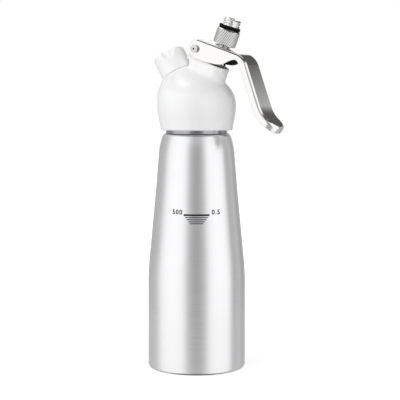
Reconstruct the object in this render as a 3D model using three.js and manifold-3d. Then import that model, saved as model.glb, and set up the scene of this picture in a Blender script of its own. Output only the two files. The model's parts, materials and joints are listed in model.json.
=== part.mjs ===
// Whipped cream dispenser: an aluminium bottle, a plastic head screwed on to its neck, and a lever that
// pushes a hollow sprung valve stem down into the head. A threaded fitting on the other side of the head
// takes a gas charger and stands under a screwed cap.
// Millimetres, +Z up. The origin is the centre of the base, on the surface that it stands on, and the
// lever lies towards +X. The head has its own frame at the foot of its skirt, and the valve, the lever and
// the inlet each have a tilted frame in the head's frame.
import * as THREE from "three";
import { mergeVertices } from "three/addons/utils/BufferGeometryUtils.js";
import { ConvexGeometry } from "three/addons/geometries/ConvexGeometry.js";
import Module from "manifold-3d";

// Fits shared by all the pieces.
const SEAT_GAP = 0.3;
const RUNNING_GAP = 0.3;
const THREAD_GAP = 0.6;
const CUT_OVERRUN = 5;
const JOIN_OVERLAP = 0.5;
const VERTEX_MERGE = 0.001;

// How finely round shapes are divided.
const ROUND_SEGMENTS = 40;
const SMALL_SEGMENTS = 24;
const PIN_SEGMENTS = 12;
const HEX_SIDES = 6;
const THREAD_STEPS_PER_TURN = 24;
const ARC_STEPS = 4;
const TAPER_STEPS = 16;
const INNER_TAPER_STEPS = 8;

// Bottle.
const BOTTLE_RADIUS = 38.6;
const BOTTLE_WALL = 1.2;
const BOTTLE_BASE_THICKNESS = 2;
const BOTTLE_BASE_ROUND = 3;
const BOTTLE_STRAIGHT_HEIGHT = 72;
const BOTTLE_TAPER_HEIGHT = 114.6;
const NECK_RADIUS = 24.3;
const NECK_WALL = 2;
const NECK_HEIGHT = 20;
const NECK_RIM_CHAMFER = 0.6;
const NECK_RING_SHOWN = 2.4;
// Each row is a share of the taper's height and a share of the way in from the body to the neck.
const TAPER_SHARES = [
  [0, 0],
  [0.1, 0.045],
  [0.27, 0.175],
  [0.436, 0.301],
  [0.603, 0.427],
  [0.77, 0.538],
  [0.867, 0.608],
  [0.922, 0.678],
  [0.963, 0.762],
  [0.985, 0.825],
  [0.9965, 0.909],
  [1, 1],
];

// Thread between the neck and the head.
const NECK_THREAD_PITCH = 4;
const NECK_THREAD_TURNS = 1.75;
const NECK_THREAD_DEPTH = 1.4;
const NECK_THREAD_START = 6;
const THREAD_ROOT_WIDTH_SHARE = 0.46;
const THREAD_CREST_WIDTH_SHARE = 0.2;
const THREAD_LEAD_SHARE = 0.44;
const THREAD_FADE_SHARE = 0.35;

// Head.
const HEAD_FOOT_RADIUS = 28.3;
const HEAD_FOOT_ROUND = 0.8;
const HEAD_WIDEST_RADIUS = 31.1;
const HEAD_WIDEST_HEIGHT = 19.5;
const DOME_RISE = 26;
const DOME_STEPS = 8;
// Each row is a share of the height from the foot to the widest part and a share of the way out to it.
const SKIRT_SHARES = [
  [0, 0],
  [0.37, 0.43],
  [0.875, 0.93],
  [1, 1],
];
const CHAMBER_RADIUS = 20.2;
const CHAMBER_WALL_HEIGHT = 3;
const CHAMBER_TOP_RADIUS = 9;
const CHAMBER_CONE_HEIGHT = 9;
const GASKET_THICKNESS = 2;
const GASKET_INNER_RADIUS = 20.6;

// Valve boss on the head, and the valve in it. Depths are measured down from the valve's origin.
const VALVE_REACH = 17.6;
const VALVE_HEIGHT = 48.8;
const VALVE_TILT = THREE.MathUtils.degToRad(22);
const BOSS_WALL = 1.5;
const BOSS_FRONT = 1;
const BOSS_LENGTH = 15.4;
const BOSS_RISE = 2.6;
const BOSS_DEPTH = 17;
const BOSS_EDGE = 0.7;
const STEM_RADIUS = 4;
const STEM_BORE_RADIUS = 2.2;
const STEM_HOLE_RADIUS = 1.2;
const STEM_HOLE_DEPTH = 21;
const STEM_COLLAR_THICKNESS = 1.5;
const SPRING_RECESS_STEP = 0.4;
const SPRING_RECESS_DEPTH = 8;
const BUSH_RADIUS = 7.2;
const BUSH_LENGTH = 7.7;
const BUSH_EDGE = 0.6;
const STEM_SEAL_WIDTH = 2;
const VALVE_TUBE_RADIUS = 9.5;
const VALVE_SEAT_DEPTH = 24;
const VALVE_FLOW_RADIUS = 5.8;
const VALVE_SEAL_RADIUS = 8;
const VALVE_SEAL_THICKNESS = 2;
const VALVE_DISC_RADIUS = 8.4;
const VALVE_DISC_THICKNESS = 1.8;
const VALVE_NUT_RADIUS = 5.6;
const VALVE_NUT_THICKNESS = 2.8;
const STEM_END_LENGTH = 0.9;

// Return spring.
const SPRING_WIRE = 1.3;
const SPRING_COIL_RADIUS = 6;
const SPRING_CURLS = 7;
const SPRING_STEPS_PER_CURL = 8;
const SPRING_SIDES = 5;
const SPRING_END_PITCH_SHARE = 0.66;

// Lever, in a frame at its pivot with +X along the arm.
const PIVOT_BACK = 17.06;
const PIVOT_RISE = 8.86;
const ARM_TILT = THREE.MathUtils.degToRad(19.5);
const LEVER_SHEET = 1.3;
const ARM_TOP = 8.15;
const ARM_BOTTOM = 6.9;
const ARM_END_REACH = 6.05;
const ARM_LENGTH = 35.45;
const WEB_BACK = 1;
const BEND_RADIUS = 15.3;
const BEND_TURN = THREE.MathUtils.degToRad(51);
const GRIP_LENGTH = 32.6;
const FLARE_RADIUS = 25;
const FLARE_TURN = THREE.MathUtils.degToRad(31.3);
const TIP_LENGTH = 9.2;
const GRIP_DEPTH = 6.2;
const TIP_DEPTH = 6;
const TIP_CORNER_SHARE = 0.96;
const SLOT_HALF_WIDTH = 4.6;
const SLOT_BACK = 2;
const SLOT_FRONT = 0.6;
// Each row is a share of the arm's length and a share of the arm's depth up from its lower edge.
const ARCH_SHARES = [
  [0.339, 0],
  [0.618, 0.13],
  [0.753, 0.235],
  [0.876, 0.42],
  [0.988, 0.615],
  [1.07, 0.65],
  [1.139, 0.52],
];
const THRUST_CROWN_RADIUS = 14;
const THRUST_RADIUS = 6.8;
const THRUST_EDGE_THICKNESS = 1.2;

// Pivot pin and the lug that holds it.
const PIN_RADIUS = 1.6;
const PIN_HEAD_RADIUS = 3.1;
const PIN_HEAD_THICKNESS = 1.1;
const PIN_HEAD_EDGE = 0.4;
const PIN_DIMPLE_RADIUS = 0.7;
const PIN_DIMPLE_DEPTH = 0.6;
const PIN_TAIL_LENGTH = 1.6;
const RETAINER_RADIUS = 3;
const RETAINER_THICKNESS = 1.2;
const LUG_RADIUS = 5.6;
const LUG_SIDE_GAP = 0.6;

// Nozzle adapter on the stem.
const ADAPTER_STAND_OFF = 1.8;
const COLLAR_RADIUS = 9.15;
const COLLAR_LENGTH = 12;
const COLLAR_EDGE = 0.5;
const O_RING_RADIUS = 8.5;
const O_RING_THICKNESS = 2.8;
const O_RING_EDGE = 0.6;
const SPIGOT_ROOT_RADIUS = 6.2;
const SPIGOT_LENGTH = 8.8;
const SPIGOT_THREAD_PITCH = 2;
const SPIGOT_THREAD_TURNS = 2.25;
const SPIGOT_THREAD_DEPTH = 1;
const ADAPTER_OUTLET_RADIUS = 3;
const ADAPTER_SOCKET_DEPTH = 9;

// Gas inlet and its cap, in a frame on the head's axis with +Z along the inlet.
const INLET_HEIGHT = 14.9;
const INLET_TILT = THREE.MathUtils.degToRad(-30);
const SHOULDER_RADIUS = 14.3;
const SHOULDER_RISE = 34;
const SHOULDER_EDGE = 0.7;
const SHOULDER_POINTS = 24;
const INLET_BORE_DEPTH = 10;
const FITTING_RADIUS = 9.2;
const STUB_ROOT_RADIUS = 8;
const STUB_LENGTH = 12;
const STUB_THREAD_PITCH = 3;
const STUB_THREAD_TURNS = 2;
const STUB_THREAD_START = 2.6;
const STUB_THREAD_DEPTH = 1.2;
const SOCKET_RADIUS = 6.2;
const SOCKET_DEPTH = 19;
const GAS_WAY_RADIUS = 2.6;
const PIERCER_THICKNESS = 2;
const PIERCER_NEEDLE_RADIUS = 1.1;
const PIERCER_NEEDLE_LENGTH = 6;
const PIERCER_HOLE_RADIUS = 0.7;
const INLET_GASKET_THICKNESS = 1.8;
const INLET_GASKET_INNER_RADIUS = 3.4;
const CHECK_FLANGE_RADIUS = 4.5;
const CHECK_FLANGE_THICKNESS = 1.2;
const CHECK_BODY_RADIUS = 2.8;
const CHECK_BODY_LENGTH = 7;
const CHECK_TIP_RADIUS = 1.2;
const CHECK_BORE_RADIUS = 0.8;
const CAP_RADIUS = 13;
const CAP_THREAD_GAP = 0.35;
const CAP_TOP_THICKNESS = 4.5;
const CAP_EDGE = 1.8;
const CAP_LINER_THICKNESS = 1.6;
const SCALLOP_COUNT = 3;
const SCALLOP_RADIUS = 7.5;
const SCALLOP_DEPTH = 5;
const SCALLOP_RUN = 9;
const SCALLOP_ANGLE = THREE.MathUtils.degToRad(-63);

// Places that follow from the sizes above.
const neckBase = BOTTLE_STRAIGHT_HEIGHT + BOTTLE_TAPER_HEIGHT;
const neckRim = neckBase + NECK_HEIGHT;
const headFoot = neckBase + NECK_RING_SHOWN;
const rimInHead = neckRim - headFoot;
const threadStart = neckBase + NECK_THREAD_START;
const headBoreRadius = NECK_RADIUS + NECK_THREAD_DEPTH + THREAD_GAP;
const gasketSeat = rimInHead + SEAT_GAP + GASKET_THICKNESS + SEAT_GAP;
const gasketOuterRadius = headBoreRadius - SEAT_GAP - THREAD_GAP;
const bushBoreRadius = BUSH_RADIUS + SEAT_GAP;
const springRecessRadius = bushBoreRadius + SPRING_RECESS_STEP;
const bossRadius = springRecessRadius + BOSS_WALL;
const leverHalfWidth = bossRadius + RUNNING_GAP + LEVER_SHEET;
const tipCornerRadius = TIP_CORNER_SHARE * leverHalfWidth;
const bushBottom = SPRING_RECESS_DEPTH + BUSH_LENGTH;
const sealShoulder = bushBottom + SEAT_GAP + STEM_SEAL_WIDTH + SEAT_GAP;
const lowerEdge = -ARM_BOTTOM;
const armAngleInValve = ARM_TILT - VALVE_TILT;
const plateTopAtStem = (ARM_TOP - PIVOT_BACK * Math.sin(armAngleInValve)) / Math.cos(armAngleInValve);
const plateTop = PIVOT_RISE + plateTopAtStem;
const plateUnderside = plateTop - LEVER_SHEET / Math.cos(armAngleInValve);
const crownSag = THRUST_CROWN_RADIUS - Math.sqrt(THRUST_CROWN_RADIUS ** 2 - SLOT_HALF_WIDTH ** 2);
const crownApex = plateUnderside - SEAT_GAP + crownSag;
const crownEdgeSag = THRUST_CROWN_RADIUS - Math.sqrt(THRUST_CROWN_RADIUS ** 2 - THRUST_RADIUS ** 2);
const thrustTopEdge = crownApex - crownEdgeSag;
const thrustBottom = thrustTopEdge - THRUST_EDGE_THICKNESS;
const collarTop = thrustBottom - SEAT_GAP;
const springTop = collarTop - STEM_COLLAR_THICKNESS - SEAT_GAP;
const springBottom = -SPRING_RECESS_DEPTH + SEAT_GAP;
const adapterBottom = plateTop + ADAPTER_STAND_OFF;
const adapterShoulder = adapterBottom + COLLAR_LENGTH;
const adapterTop = adapterShoulder + SPIGOT_LENGTH;
const socketTop = adapterBottom + ADAPTER_SOCKET_DEPTH;
const sealTop = -VALVE_SEAT_DEPTH - SEAT_GAP;
const discTop = sealTop - VALVE_SEAL_THICKNESS - SEAT_GAP;
const nutTop = discTop - VALVE_DISC_THICKNESS - SEAT_GAP;
const stemEnd = nutTop - VALVE_NUT_THICKNESS - STEM_END_LENGTH;
const lugHalfWidth = leverHalfWidth - LEVER_SHEET - LUG_SIDE_GAP;
const pinHoleRadius = PIN_RADIUS + RUNNING_GAP;
const fittingBottom = SHOULDER_RISE - INLET_BORE_DEPTH + SEAT_GAP;
const fittingShoulder = SHOULDER_RISE + SEAT_GAP;
const stubTop = fittingShoulder + STUB_LENGTH;
const socketFloor = stubTop - SOCKET_DEPTH;
const capFoot = fittingShoulder + SEAT_GAP;
const capBoreRadius = STUB_ROOT_RADIUS + STUB_THREAD_DEPTH + CAP_THREAD_GAP;
const linerBottom = stubTop + SEAT_GAP;
const linerTop = linerBottom + CAP_LINER_THICKNESS;
const capBoreTop = linerTop + SEAT_GAP;
const capTop = capBoreTop + CAP_TOP_THICKNESS;

// A closed geometry as a solid that can be joined and cut.
function solid(geometry) {
  const bare = geometry.index ? geometry.toNonIndexed() : geometry.clone();
  bare.deleteAttribute("normal");
  bare.deleteAttribute("uv");
  const merged = mergeVertices(bare, VERTEX_MERGE);
  const vertProperties = new Float32Array(merged.attributes.position.array);
  const triVerts = new Uint32Array(merged.index.array);
  return new wasm.Manifold(new wasm.Mesh({ numProp: 3, vertProperties, triVerts }));
}

// The way back, for a mesh.
function geometryOf(shape) {
  const mesh = shape.getMesh();
  const geometry = new THREE.BufferGeometry();
  geometry.setAttribute("position", new THREE.BufferAttribute(new Float32Array(mesh.vertProperties), 3));
  geometry.setIndex(new THREE.BufferAttribute(new Uint32Array(mesh.triVerts), 1));
  geometry.computeVertexNormals();
  return geometry;
}

// A body turned about Z from [radius, height] points, counter-clockwise with the radius to the right.
function turned(profile, segments = ROUND_SEGMENTS) {
  const points = profile.map(([radius, height]) => new THREE.Vector2(radius, height));
  return new THREE.LatheGeometry(points, segments).rotateX(Math.PI / 2);
}

// A plain round bar along Z between two heights.
function bar(radius, bottom, top, segments = SMALL_SEGMENTS) {
  const profile = [
    [0, bottom],
    [radius, bottom],
    [radius, top],
    [0, top],
  ];
  return turned(profile, segments);
}

// A flat-sided ring about Z, its outer edges broken where an edge is given.
function ring(inner, outer, bottom, top, edge = 0, segments = SMALL_SEGMENTS) {
  const outside = edge
    ? [
        [outer - edge, bottom],
        [outer, bottom + edge],
        [outer, top - edge],
        [outer - edge, top],
      ]
    : [
        [outer, bottom],
        [outer, top],
      ];
  return turned([[inner, bottom], ...outside, [inner, top], [inner, bottom]], segments);
}

// Points of an arc in a plane, from one angle to another.
function arc(centreX, centreY, radius, from, to, steps = ARC_STEPS) {
  return Array.from({ length: steps + 1 }, (_, i) => {
    const angle = from + ((to - from) * i) / steps;
    return [centreX + radius * Math.cos(angle), centreY + radius * Math.sin(angle)];
  });
}

// A smooth curve through rows of shares, each share scaled by its size and counted from its start.
function smooth(shares, startX, sizeX, startY, sizeY, steps) {
  const knots = shares.map(([x, y]) => new THREE.Vector2(startX + x * sizeX, startY + y * sizeY));
  return new THREE.SplineCurve(knots).getPoints(steps).map((p) => [p.x, p.y]);
}

// An outline in X and Z, made into a plate that is centred on Y.
function plate(outline, width) {
  const shape = new THREE.Shape(outline.map(([x, z]) => new THREE.Vector2(x, z)));
  const geometry = new THREE.ExtrudeGeometry(shape, { depth: width, bevelEnabled: false });
  return geometry.rotateX(Math.PI / 2).translate(0, width / 2, 0);
}

// An outline in X and Y with semicircular ends, raised along Z between two heights.
function oblong(left, right, radius, bottom, top) {
  const outline = [
    ...arc(right, 0, radius, -Math.PI / 2, Math.PI / 2, SMALL_SEGMENTS / 2),
    ...arc(left, 0, radius, Math.PI / 2, (3 * Math.PI) / 2, SMALL_SEGMENTS / 2),
  ];
  const shape = new THREE.Shape(outline.map(([x, y]) => new THREE.Vector2(x, y)));
  const geometry = new THREE.ExtrudeGeometry(shape, { depth: top - bottom, bevelEnabled: false });
  return geometry.translate(0, 0, bottom);
}

// A screw ridge about Z. It stands outwards where the crest's radius is the larger one, else inwards.
function threadRidge({ rootRadius, crestRadius, pitch, turns, start }) {
  const steps = Math.round(turns * THREAD_STEPS_PER_TURN);
  const rootHalf = (pitch * THREAD_ROOT_WIDTH_SHARE) / 2;
  const crestHalf = (pitch * THREAD_CREST_WIDTH_SHARE) / 2;
  const outwards = Math.sign(crestRadius - rootRadius);
  const sunk = rootRadius - outwards * JOIN_OVERLAP;
  const rings = Array.from({ length: steps + 1 }, (_, i) => {
    const angle = (2 * Math.PI * i) / THREAD_STEPS_PER_TURN;
    const height = start + (pitch * i) / THREAD_STEPS_PER_TURN;
    const ended = i === 0 || i === steps;
    const reach = (crestRadius - rootRadius) * (ended ? THREAD_FADE_SHARE : 1);
    const section = [
      [sunk, -rootHalf],
      [rootRadius + reach, -crestHalf],
      [rootRadius + reach, crestHalf],
      [sunk, rootHalf],
    ];
    return section.map(([r, z]) => [r * Math.cos(angle), r * Math.sin(angle), height + z]);
  });
  return loft(rings, outwards < 0);
}

// A closed body through rings of as many points each, with flat ends.
function loft(rings, reversed = false) {
  const sides = rings[0].length;
  const triangles = [];
  const corner = (i, k) => i * sides + (k % sides);
  for (let i = 0; i + 1 < rings.length; i += 1) {
    for (let k = 0; k < sides; k += 1) {
      triangles.push([corner(i, k), corner(i + 1, k), corner(i + 1, k + 1)]);
      triangles.push([corner(i, k), corner(i + 1, k + 1), corner(i, k + 1)]);
    }
  }
  const last = rings.length - 1;
  for (let k = 1; k + 1 < sides; k += 1) {
    triangles.push([corner(0, 0), corner(0, k), corner(0, k + 1)]);
    triangles.push([corner(last, 0), corner(last, k + 1), corner(last, k)]);
  }
  const geometry = new THREE.BufferGeometry();
  geometry.setAttribute("position", new THREE.Float32BufferAttribute(rings.flat(2), 3));
  geometry.setIndex(triangles.map((t) => (reversed ? [...t].reverse() : t)).flat());
  return geometry;
}

// The bottle: outside from the base's centre to the rim, then inside back down to the floor.
function makeBottle() {
  const taper = (radius, neckRadius, top, steps) => {
    const height = top - BOTTLE_STRAIGHT_HEIGHT;
    const curve = smooth(TAPER_SHARES, BOTTLE_STRAIGHT_HEIGHT, height, radius, neckRadius - radius, steps);
    return curve.map(([z, r]) => [r, z]);
  };
  const innerRadius = BOTTLE_RADIUS - BOTTLE_WALL;
  const neckInner = NECK_RADIUS - NECK_WALL;
  const innerRound = BOTTLE_BASE_ROUND - BOTTLE_WALL;
  const quarter = Math.PI / 2;
  const outside = [
    [0, 0],
    ...arc(BOTTLE_RADIUS - BOTTLE_BASE_ROUND, BOTTLE_BASE_ROUND, BOTTLE_BASE_ROUND, -quarter, 0),
    ...taper(BOTTLE_RADIUS, NECK_RADIUS, neckBase, TAPER_STEPS),
    [NECK_RADIUS, neckRim - NECK_RIM_CHAMFER],
    [NECK_RADIUS - NECK_RIM_CHAMFER, neckRim],
  ];
  const floorLevel = BOTTLE_BASE_THICKNESS + innerRound;
  const inside = [
    [neckInner, neckRim],
    ...taper(innerRadius, neckInner, neckBase - BOTTLE_WALL, INNER_TAPER_STEPS).reverse(),
    ...arc(innerRadius - innerRound, floorLevel, innerRound, 0, -quarter, 2),
    [0, BOTTLE_BASE_THICKNESS],
  ];
  const ridge = threadRidge({
    rootRadius: NECK_RADIUS,
    crestRadius: NECK_RADIUS + NECK_THREAD_DEPTH,
    pitch: NECK_THREAD_PITCH,
    turns: NECK_THREAD_TURNS,
    start: threadStart,
  });
  return geometryOf(solid(turned([...outside, ...inside])).add(solid(ridge)));
}

// A geometry moved from the valve's frame into the head's.
function fromValve(geometry) {
  return geometry.rotateY(VALVE_TILT).translate(VALVE_REACH, 0, VALVE_HEIGHT);
}

// A geometry moved from the inlet's frame into the head's.
function fromInlet(geometry) {
  return geometry.rotateY(INLET_TILT).translate(0, 0, INLET_HEIGHT);
}

// The valve's boss: an oblong column along the valve, between the lever's side plates. Its rear end stays
// upright as the column leans.
function bossBody() {
  const levels = [
    [-BOSS_DEPTH, 0],
    [BOSS_RISE - BOSS_EDGE, 0],
    [BOSS_RISE, BOSS_EDGE],
  ];
  const quarter = Math.PI / 2;
  const rings = levels.map(([height, inset]) => {
    const rear = -BOSS_LENGTH - height * Math.tan(VALVE_TILT);
    const outline = [
      ...arc(BOSS_FRONT, 0, bossRadius - inset, -quarter, quarter, SMALL_SEGMENTS / 2),
      ...arc(rear, 0, bossRadius - inset, quarter, 3 * quarter, SMALL_SEGMENTS / 2),
    ];
    return outline.map(([x, y]) => [x, y, height]);
  });
  return loft(rings, true);
}

// The dome of the head, a body of revolution, solid.
function domeBody() {
  const skirt = smooth(
    SKIRT_SHARES,
    HEAD_FOOT_ROUND,
    HEAD_WIDEST_HEIGHT - HEAD_FOOT_ROUND,
    HEAD_FOOT_RADIUS,
    HEAD_WIDEST_RADIUS - HEAD_FOOT_RADIUS,
    ARC_STEPS,
  ).map(([height, radius]) => [radius, height]);
  const dome = arc(0, 0, 1, 0, Math.PI / 2, DOME_STEPS)
    .slice(1, -1)
    .map(([x, y]) => [x * HEAD_WIDEST_RADIUS, HEAD_WIDEST_HEIGHT + y * DOME_RISE]);
  const foot = [
    [0, 0],
    [HEAD_FOOT_RADIUS - HEAD_FOOT_ROUND, 0],
  ];
  return turned([...foot, ...skirt, ...dome, [0, HEAD_WIDEST_HEIGHT + DOME_RISE]]);
}

// The shoulder that swells from the back of the dome up to the round face under the cap.
function inletShoulder() {
  const rings = [
    [SHOULDER_RADIUS - SHOULDER_EDGE, SHOULDER_RISE],
    [SHOULDER_RADIUS, SHOULDER_RISE - SHOULDER_EDGE],
  ];
  const points = [];
  for (const [radius, height] of rings) {
    for (let i = 0; i < SHOULDER_POINTS; i += 1) {
      const angle = (2 * Math.PI * i) / SHOULDER_POINTS;
      const point = new THREE.Vector3(radius * Math.cos(angle), radius * Math.sin(angle), height);
      point.applyAxisAngle(new THREE.Vector3(0, 1, 0), INLET_TILT);
      points.push(point.add(new THREE.Vector3(0, 0, INLET_HEIGHT)));
    }
  }
  for (let i = 0; i <= SHOULDER_POINTS; i += 1) {
    const angle = Math.PI / 2 + (Math.PI * i) / SHOULDER_POINTS;
    const x = HEAD_WIDEST_RADIUS * Math.cos(angle);
    const y = HEAD_WIDEST_RADIUS * Math.sin(angle);
    points.push(new THREE.Vector3(x, y, HEAD_WIDEST_HEIGHT));
  }
  return new ConvexGeometry(points);
}

// The lug between the lever's side plates, with its round top about the pin.
function pivotLug() {
  const outline = [
    [-PIVOT_BACK + LUG_RADIUS, -BOSS_EDGE - JOIN_OVERLAP],
    ...arc(-PIVOT_BACK, PIVOT_RISE, LUG_RADIUS, 0, Math.PI, 2 * ARC_STEPS),
    [-PIVOT_BACK - LUG_RADIUS, -BOSS_EDGE - JOIN_OVERLAP],
  ];
  return plate(outline, 2 * lugHalfWidth);
}

// The bores of the valve, from the spring's recess down to the seat.
function valveBores() {
  const profile = [
    [0, -VALVE_SEAT_DEPTH - CUT_OVERRUN],
    [VALVE_FLOW_RADIUS, -VALVE_SEAT_DEPTH - CUT_OVERRUN],
    [VALVE_FLOW_RADIUS, -sealShoulder],
    [bushBoreRadius, -sealShoulder],
    [bushBoreRadius, -SPRING_RECESS_DEPTH],
    [springRecessRadius, -SPRING_RECESS_DEPTH],
    [springRecessRadius, BOSS_RISE + CUT_OVERRUN],
    [0, BOSS_RISE + CUT_OVERRUN],
  ];
  return turned(profile, SMALL_SEGMENTS);
}

// The bores of the inlet, from the fitting's seat down through the check valve's into the chamber.
function inletBores() {
  const seat = SHOULDER_RISE - INLET_BORE_DEPTH;
  const checkSeat = seat - CHECK_FLANGE_THICKNESS - SEAT_GAP;
  const profile = [
    [0, checkSeat - CHECK_BODY_LENGTH - CUT_OVERRUN],
    [CHECK_BODY_RADIUS + RUNNING_GAP, checkSeat - CHECK_BODY_LENGTH - CUT_OVERRUN],
    [CHECK_BODY_RADIUS + RUNNING_GAP, checkSeat],
    [CHECK_FLANGE_RADIUS + SEAT_GAP, checkSeat],
    [CHECK_FLANGE_RADIUS + SEAT_GAP, seat],
    [FITTING_RADIUS + SEAT_GAP, seat],
    [FITTING_RADIUS + SEAT_GAP, SHOULDER_RISE + CUT_OVERRUN],
    [0, SHOULDER_RISE + CUT_OVERRUN],
  ];
  return turned(profile, SMALL_SEGMENTS);
}

// The head: dome, shoulder, boss and lug, hollowed for the neck, the chamber and the bores.
function makeHead() {
  const hollow = turned([
    [0, -CUT_OVERRUN],
    [headBoreRadius, -CUT_OVERRUN],
    [headBoreRadius, gasketSeat],
    [CHAMBER_RADIUS, gasketSeat],
    [CHAMBER_RADIUS, gasketSeat + CHAMBER_WALL_HEIGHT],
    [CHAMBER_TOP_RADIUS, gasketSeat + CHAMBER_WALL_HEIGHT + CHAMBER_CONE_HEIGHT],
    [0, gasketSeat + CHAMBER_WALL_HEIGHT + CHAMBER_CONE_HEIGHT],
  ]);
  const pinHole = bar(pinHoleRadius, -leverHalfWidth, leverHalfWidth, PIN_SEGMENTS)
    .rotateX(Math.PI / 2)
    .translate(-PIVOT_BACK, 0, PIVOT_RISE);
  const ridge = threadRidge({
    rootRadius: headBoreRadius,
    crestRadius: NECK_RADIUS + THREAD_GAP,
    pitch: NECK_THREAD_PITCH,
    turns: NECK_THREAD_TURNS,
    start: threadStart - headFoot - NECK_THREAD_PITCH * THREAD_LEAD_SHARE,
  });
  return geometryOf(
    solid(domeBody())
      .add(solid(inletShoulder()))
      .add(solid(fromValve(bossBody())))
      .add(solid(fromValve(pivotLug())))
      .subtract(solid(hollow))
      .add(solid(fromValve(bar(VALVE_TUBE_RADIUS, -VALVE_SEAT_DEPTH, -BOSS_DEPTH))))
      .subtract(solid(fromValve(valveBores())))
      .subtract(solid(fromInlet(inletBores())))
      .subtract(solid(fromValve(pinHole)))
      .add(solid(ridge)),
  );
}

// The ring that seals the head on the bottle's rim.
function makeHeadGasket() {
  const bottom = rimInHead + SEAT_GAP;
  const top = gasketSeat - SEAT_GAP;
  return ring(GASKET_INNER_RADIUS, gasketOuterRadius, bottom, top, 0, ROUND_SEGMENTS);
}

// Places along the lever's upper line, each with the normal that points out of the channel.
function leverStations() {
  const stations = [];
  let x = 0;
  let z = ARM_TOP;
  let fall = 0;
  const note = () => stations.push({ x, z, normalX: Math.sin(fall), normalZ: Math.cos(fall) });
  const straight = (length) => {
    x += length * Math.cos(fall);
    z -= length * Math.sin(fall);
    note();
  };
  // Down about a centre inside the channel, or back up about a centre outside it.
  const turn = (radius, angle, steps) => {
    for (let i = 0; i < steps; i += 1) {
      const next = fall + angle / steps;
      const side = Math.sign(angle);
      x += side * radius * (Math.sin(next) - Math.sin(fall));
      z += side * radius * (Math.cos(next) - Math.cos(fall));
      fall = next;
      note();
    }
  };
  note();
  straight(ARM_LENGTH);
  turn(BEND_RADIUS, BEND_TURN, 2 * ARC_STEPS);
  straight(GRIP_LENGTH);
  turn(FLARE_RADIUS, -FLARE_TURN, 2 * ARC_STEPS);
  straight(TIP_LENGTH);
  return stations;
}

// The upper line moved inwards by a depth that may change towards the tip.
function leverLine(stations, depthAt) {
  return stations.map(({ x, z, normalX, normalZ }, i) => {
    const depth = depthAt(i / (stations.length - 1));
    return [x - normalX * depth, z - normalZ * depth];
  });
}

// The lever: a side outline at its full width, less the inside of the channel, the slot and the pin's hole.
function makeLever() {
  const stations = leverStations();
  const afterBend = stations.slice(2 * ARC_STEPS + 1);
  const flangeDepth = (share) => THREE.MathUtils.lerp(GRIP_DEPTH, TIP_DEPTH, share);
  const endRadius = (ARM_TOP + ARM_BOTTOM) / 2;
  const endHeight = (ARM_TOP - ARM_BOTTOM) / 2;
  const quarter = Math.PI / 2;
  const arch = smooth(ARCH_SHARES, 0, ARM_LENGTH, lowerEdge, ARM_TOP + ARM_BOTTOM, ARCH_SHARES.length * 2);
  const outline = [
    ...arc(endRadius - ARM_END_REACH, endHeight, endRadius, quarter, 3 * quarter, 3 * ARC_STEPS),
    ...arch,
    ...leverLine(afterBend, flangeDepth),
    ...leverLine(stations.slice(1), () => 0).reverse(),
  ];
  const innerTop = leverLine(stations.slice(1), () => LEVER_SHEET);
  const deep = leverLine(afterBend, () => GRIP_DEPTH + LEVER_SHEET);
  const inside = [
    ...innerTop,
    ...deep.reverse(),
    [ARM_LENGTH, ARM_TOP - GRIP_DEPTH - 2 * LEVER_SHEET],
    [ARM_LENGTH / 2, lowerEdge - LEVER_SHEET],
    [-ARM_END_REACH - CUT_OVERRUN, lowerEdge - LEVER_SHEET],
    [-ARM_END_REACH - CUT_OVERRUN, ARM_TOP + LEVER_SHEET],
    [-WEB_BACK, ARM_TOP + LEVER_SHEET],
    [-WEB_BACK, ARM_TOP - LEVER_SHEET],
  ];
  const tip = stations[stations.length - 1];
  const channel = solid(plate(inside, 2 * (leverHalfWidth - LEVER_SHEET)));
  return geometryOf(
    solid(plate(outline, 2 * leverHalfWidth))
      .intersect(tipPlan(tip, 0))
      .subtract(channel.intersect(tipPlan(tip, LEVER_SHEET)))
      .subtract(stemSlot())
      .subtract(solid(pinHoleInLever())),
  );
}

// A block as large as the lever whose far end is rounded in plan, square to the tip's upper face.
function tipPlan(tip, inset) {
  const reach = ARM_LENGTH + BEND_RADIUS + GRIP_LENGTH + FLARE_RADIUS + TIP_LENGTH;
  const half = leverHalfWidth + CUT_OVERRUN;
  const flat = leverHalfWidth - tipCornerRadius;
  const radius = tipCornerRadius - inset;
  const quarter = Math.PI / 2;
  const outline = [
    [-reach, -half],
    [-2 * tipCornerRadius, -half],
    [-2 * tipCornerRadius, -flat - radius],
    ...arc(-tipCornerRadius, -flat, radius, -quarter, 0),
    ...arc(-tipCornerRadius, flat, radius, 0, quarter),
    [-2 * tipCornerRadius, flat + radius],
    [-2 * tipCornerRadius, half],
    [-reach, half],
  ];
  const shape = new THREE.Shape(outline.map(([x, y]) => new THREE.Vector2(x, y)));
  const block = new THREE.ExtrudeGeometry(shape, { depth: 2 * reach, bevelEnabled: false });
  block.translate(0, 0, -reach).rotateY(Math.atan2(tip.normalX, tip.normalZ));
  return solid(block.translate(tip.x, 0, tip.z));
}

// The slot in the lever's web that the stem passes through, longer towards the pivot for the swing.
function stemSlot() {
  const bottom = plateUnderside - CUT_OVERRUN;
  const top = plateTop + CUT_OVERRUN;
  const slot = oblong(-SLOT_BACK, SLOT_FRONT, SLOT_HALF_WIDTH, bottom, top);
  return solid(slot.translate(PIVOT_BACK, 0, -PIVOT_RISE).rotateY(-armAngleInValve));
}

function pinHoleInLever() {
  const half = leverHalfWidth + CUT_OVERRUN;
  return bar(pinHoleRadius, -half, half, PIN_SEGMENTS).rotateX(Math.PI / 2);
}

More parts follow.
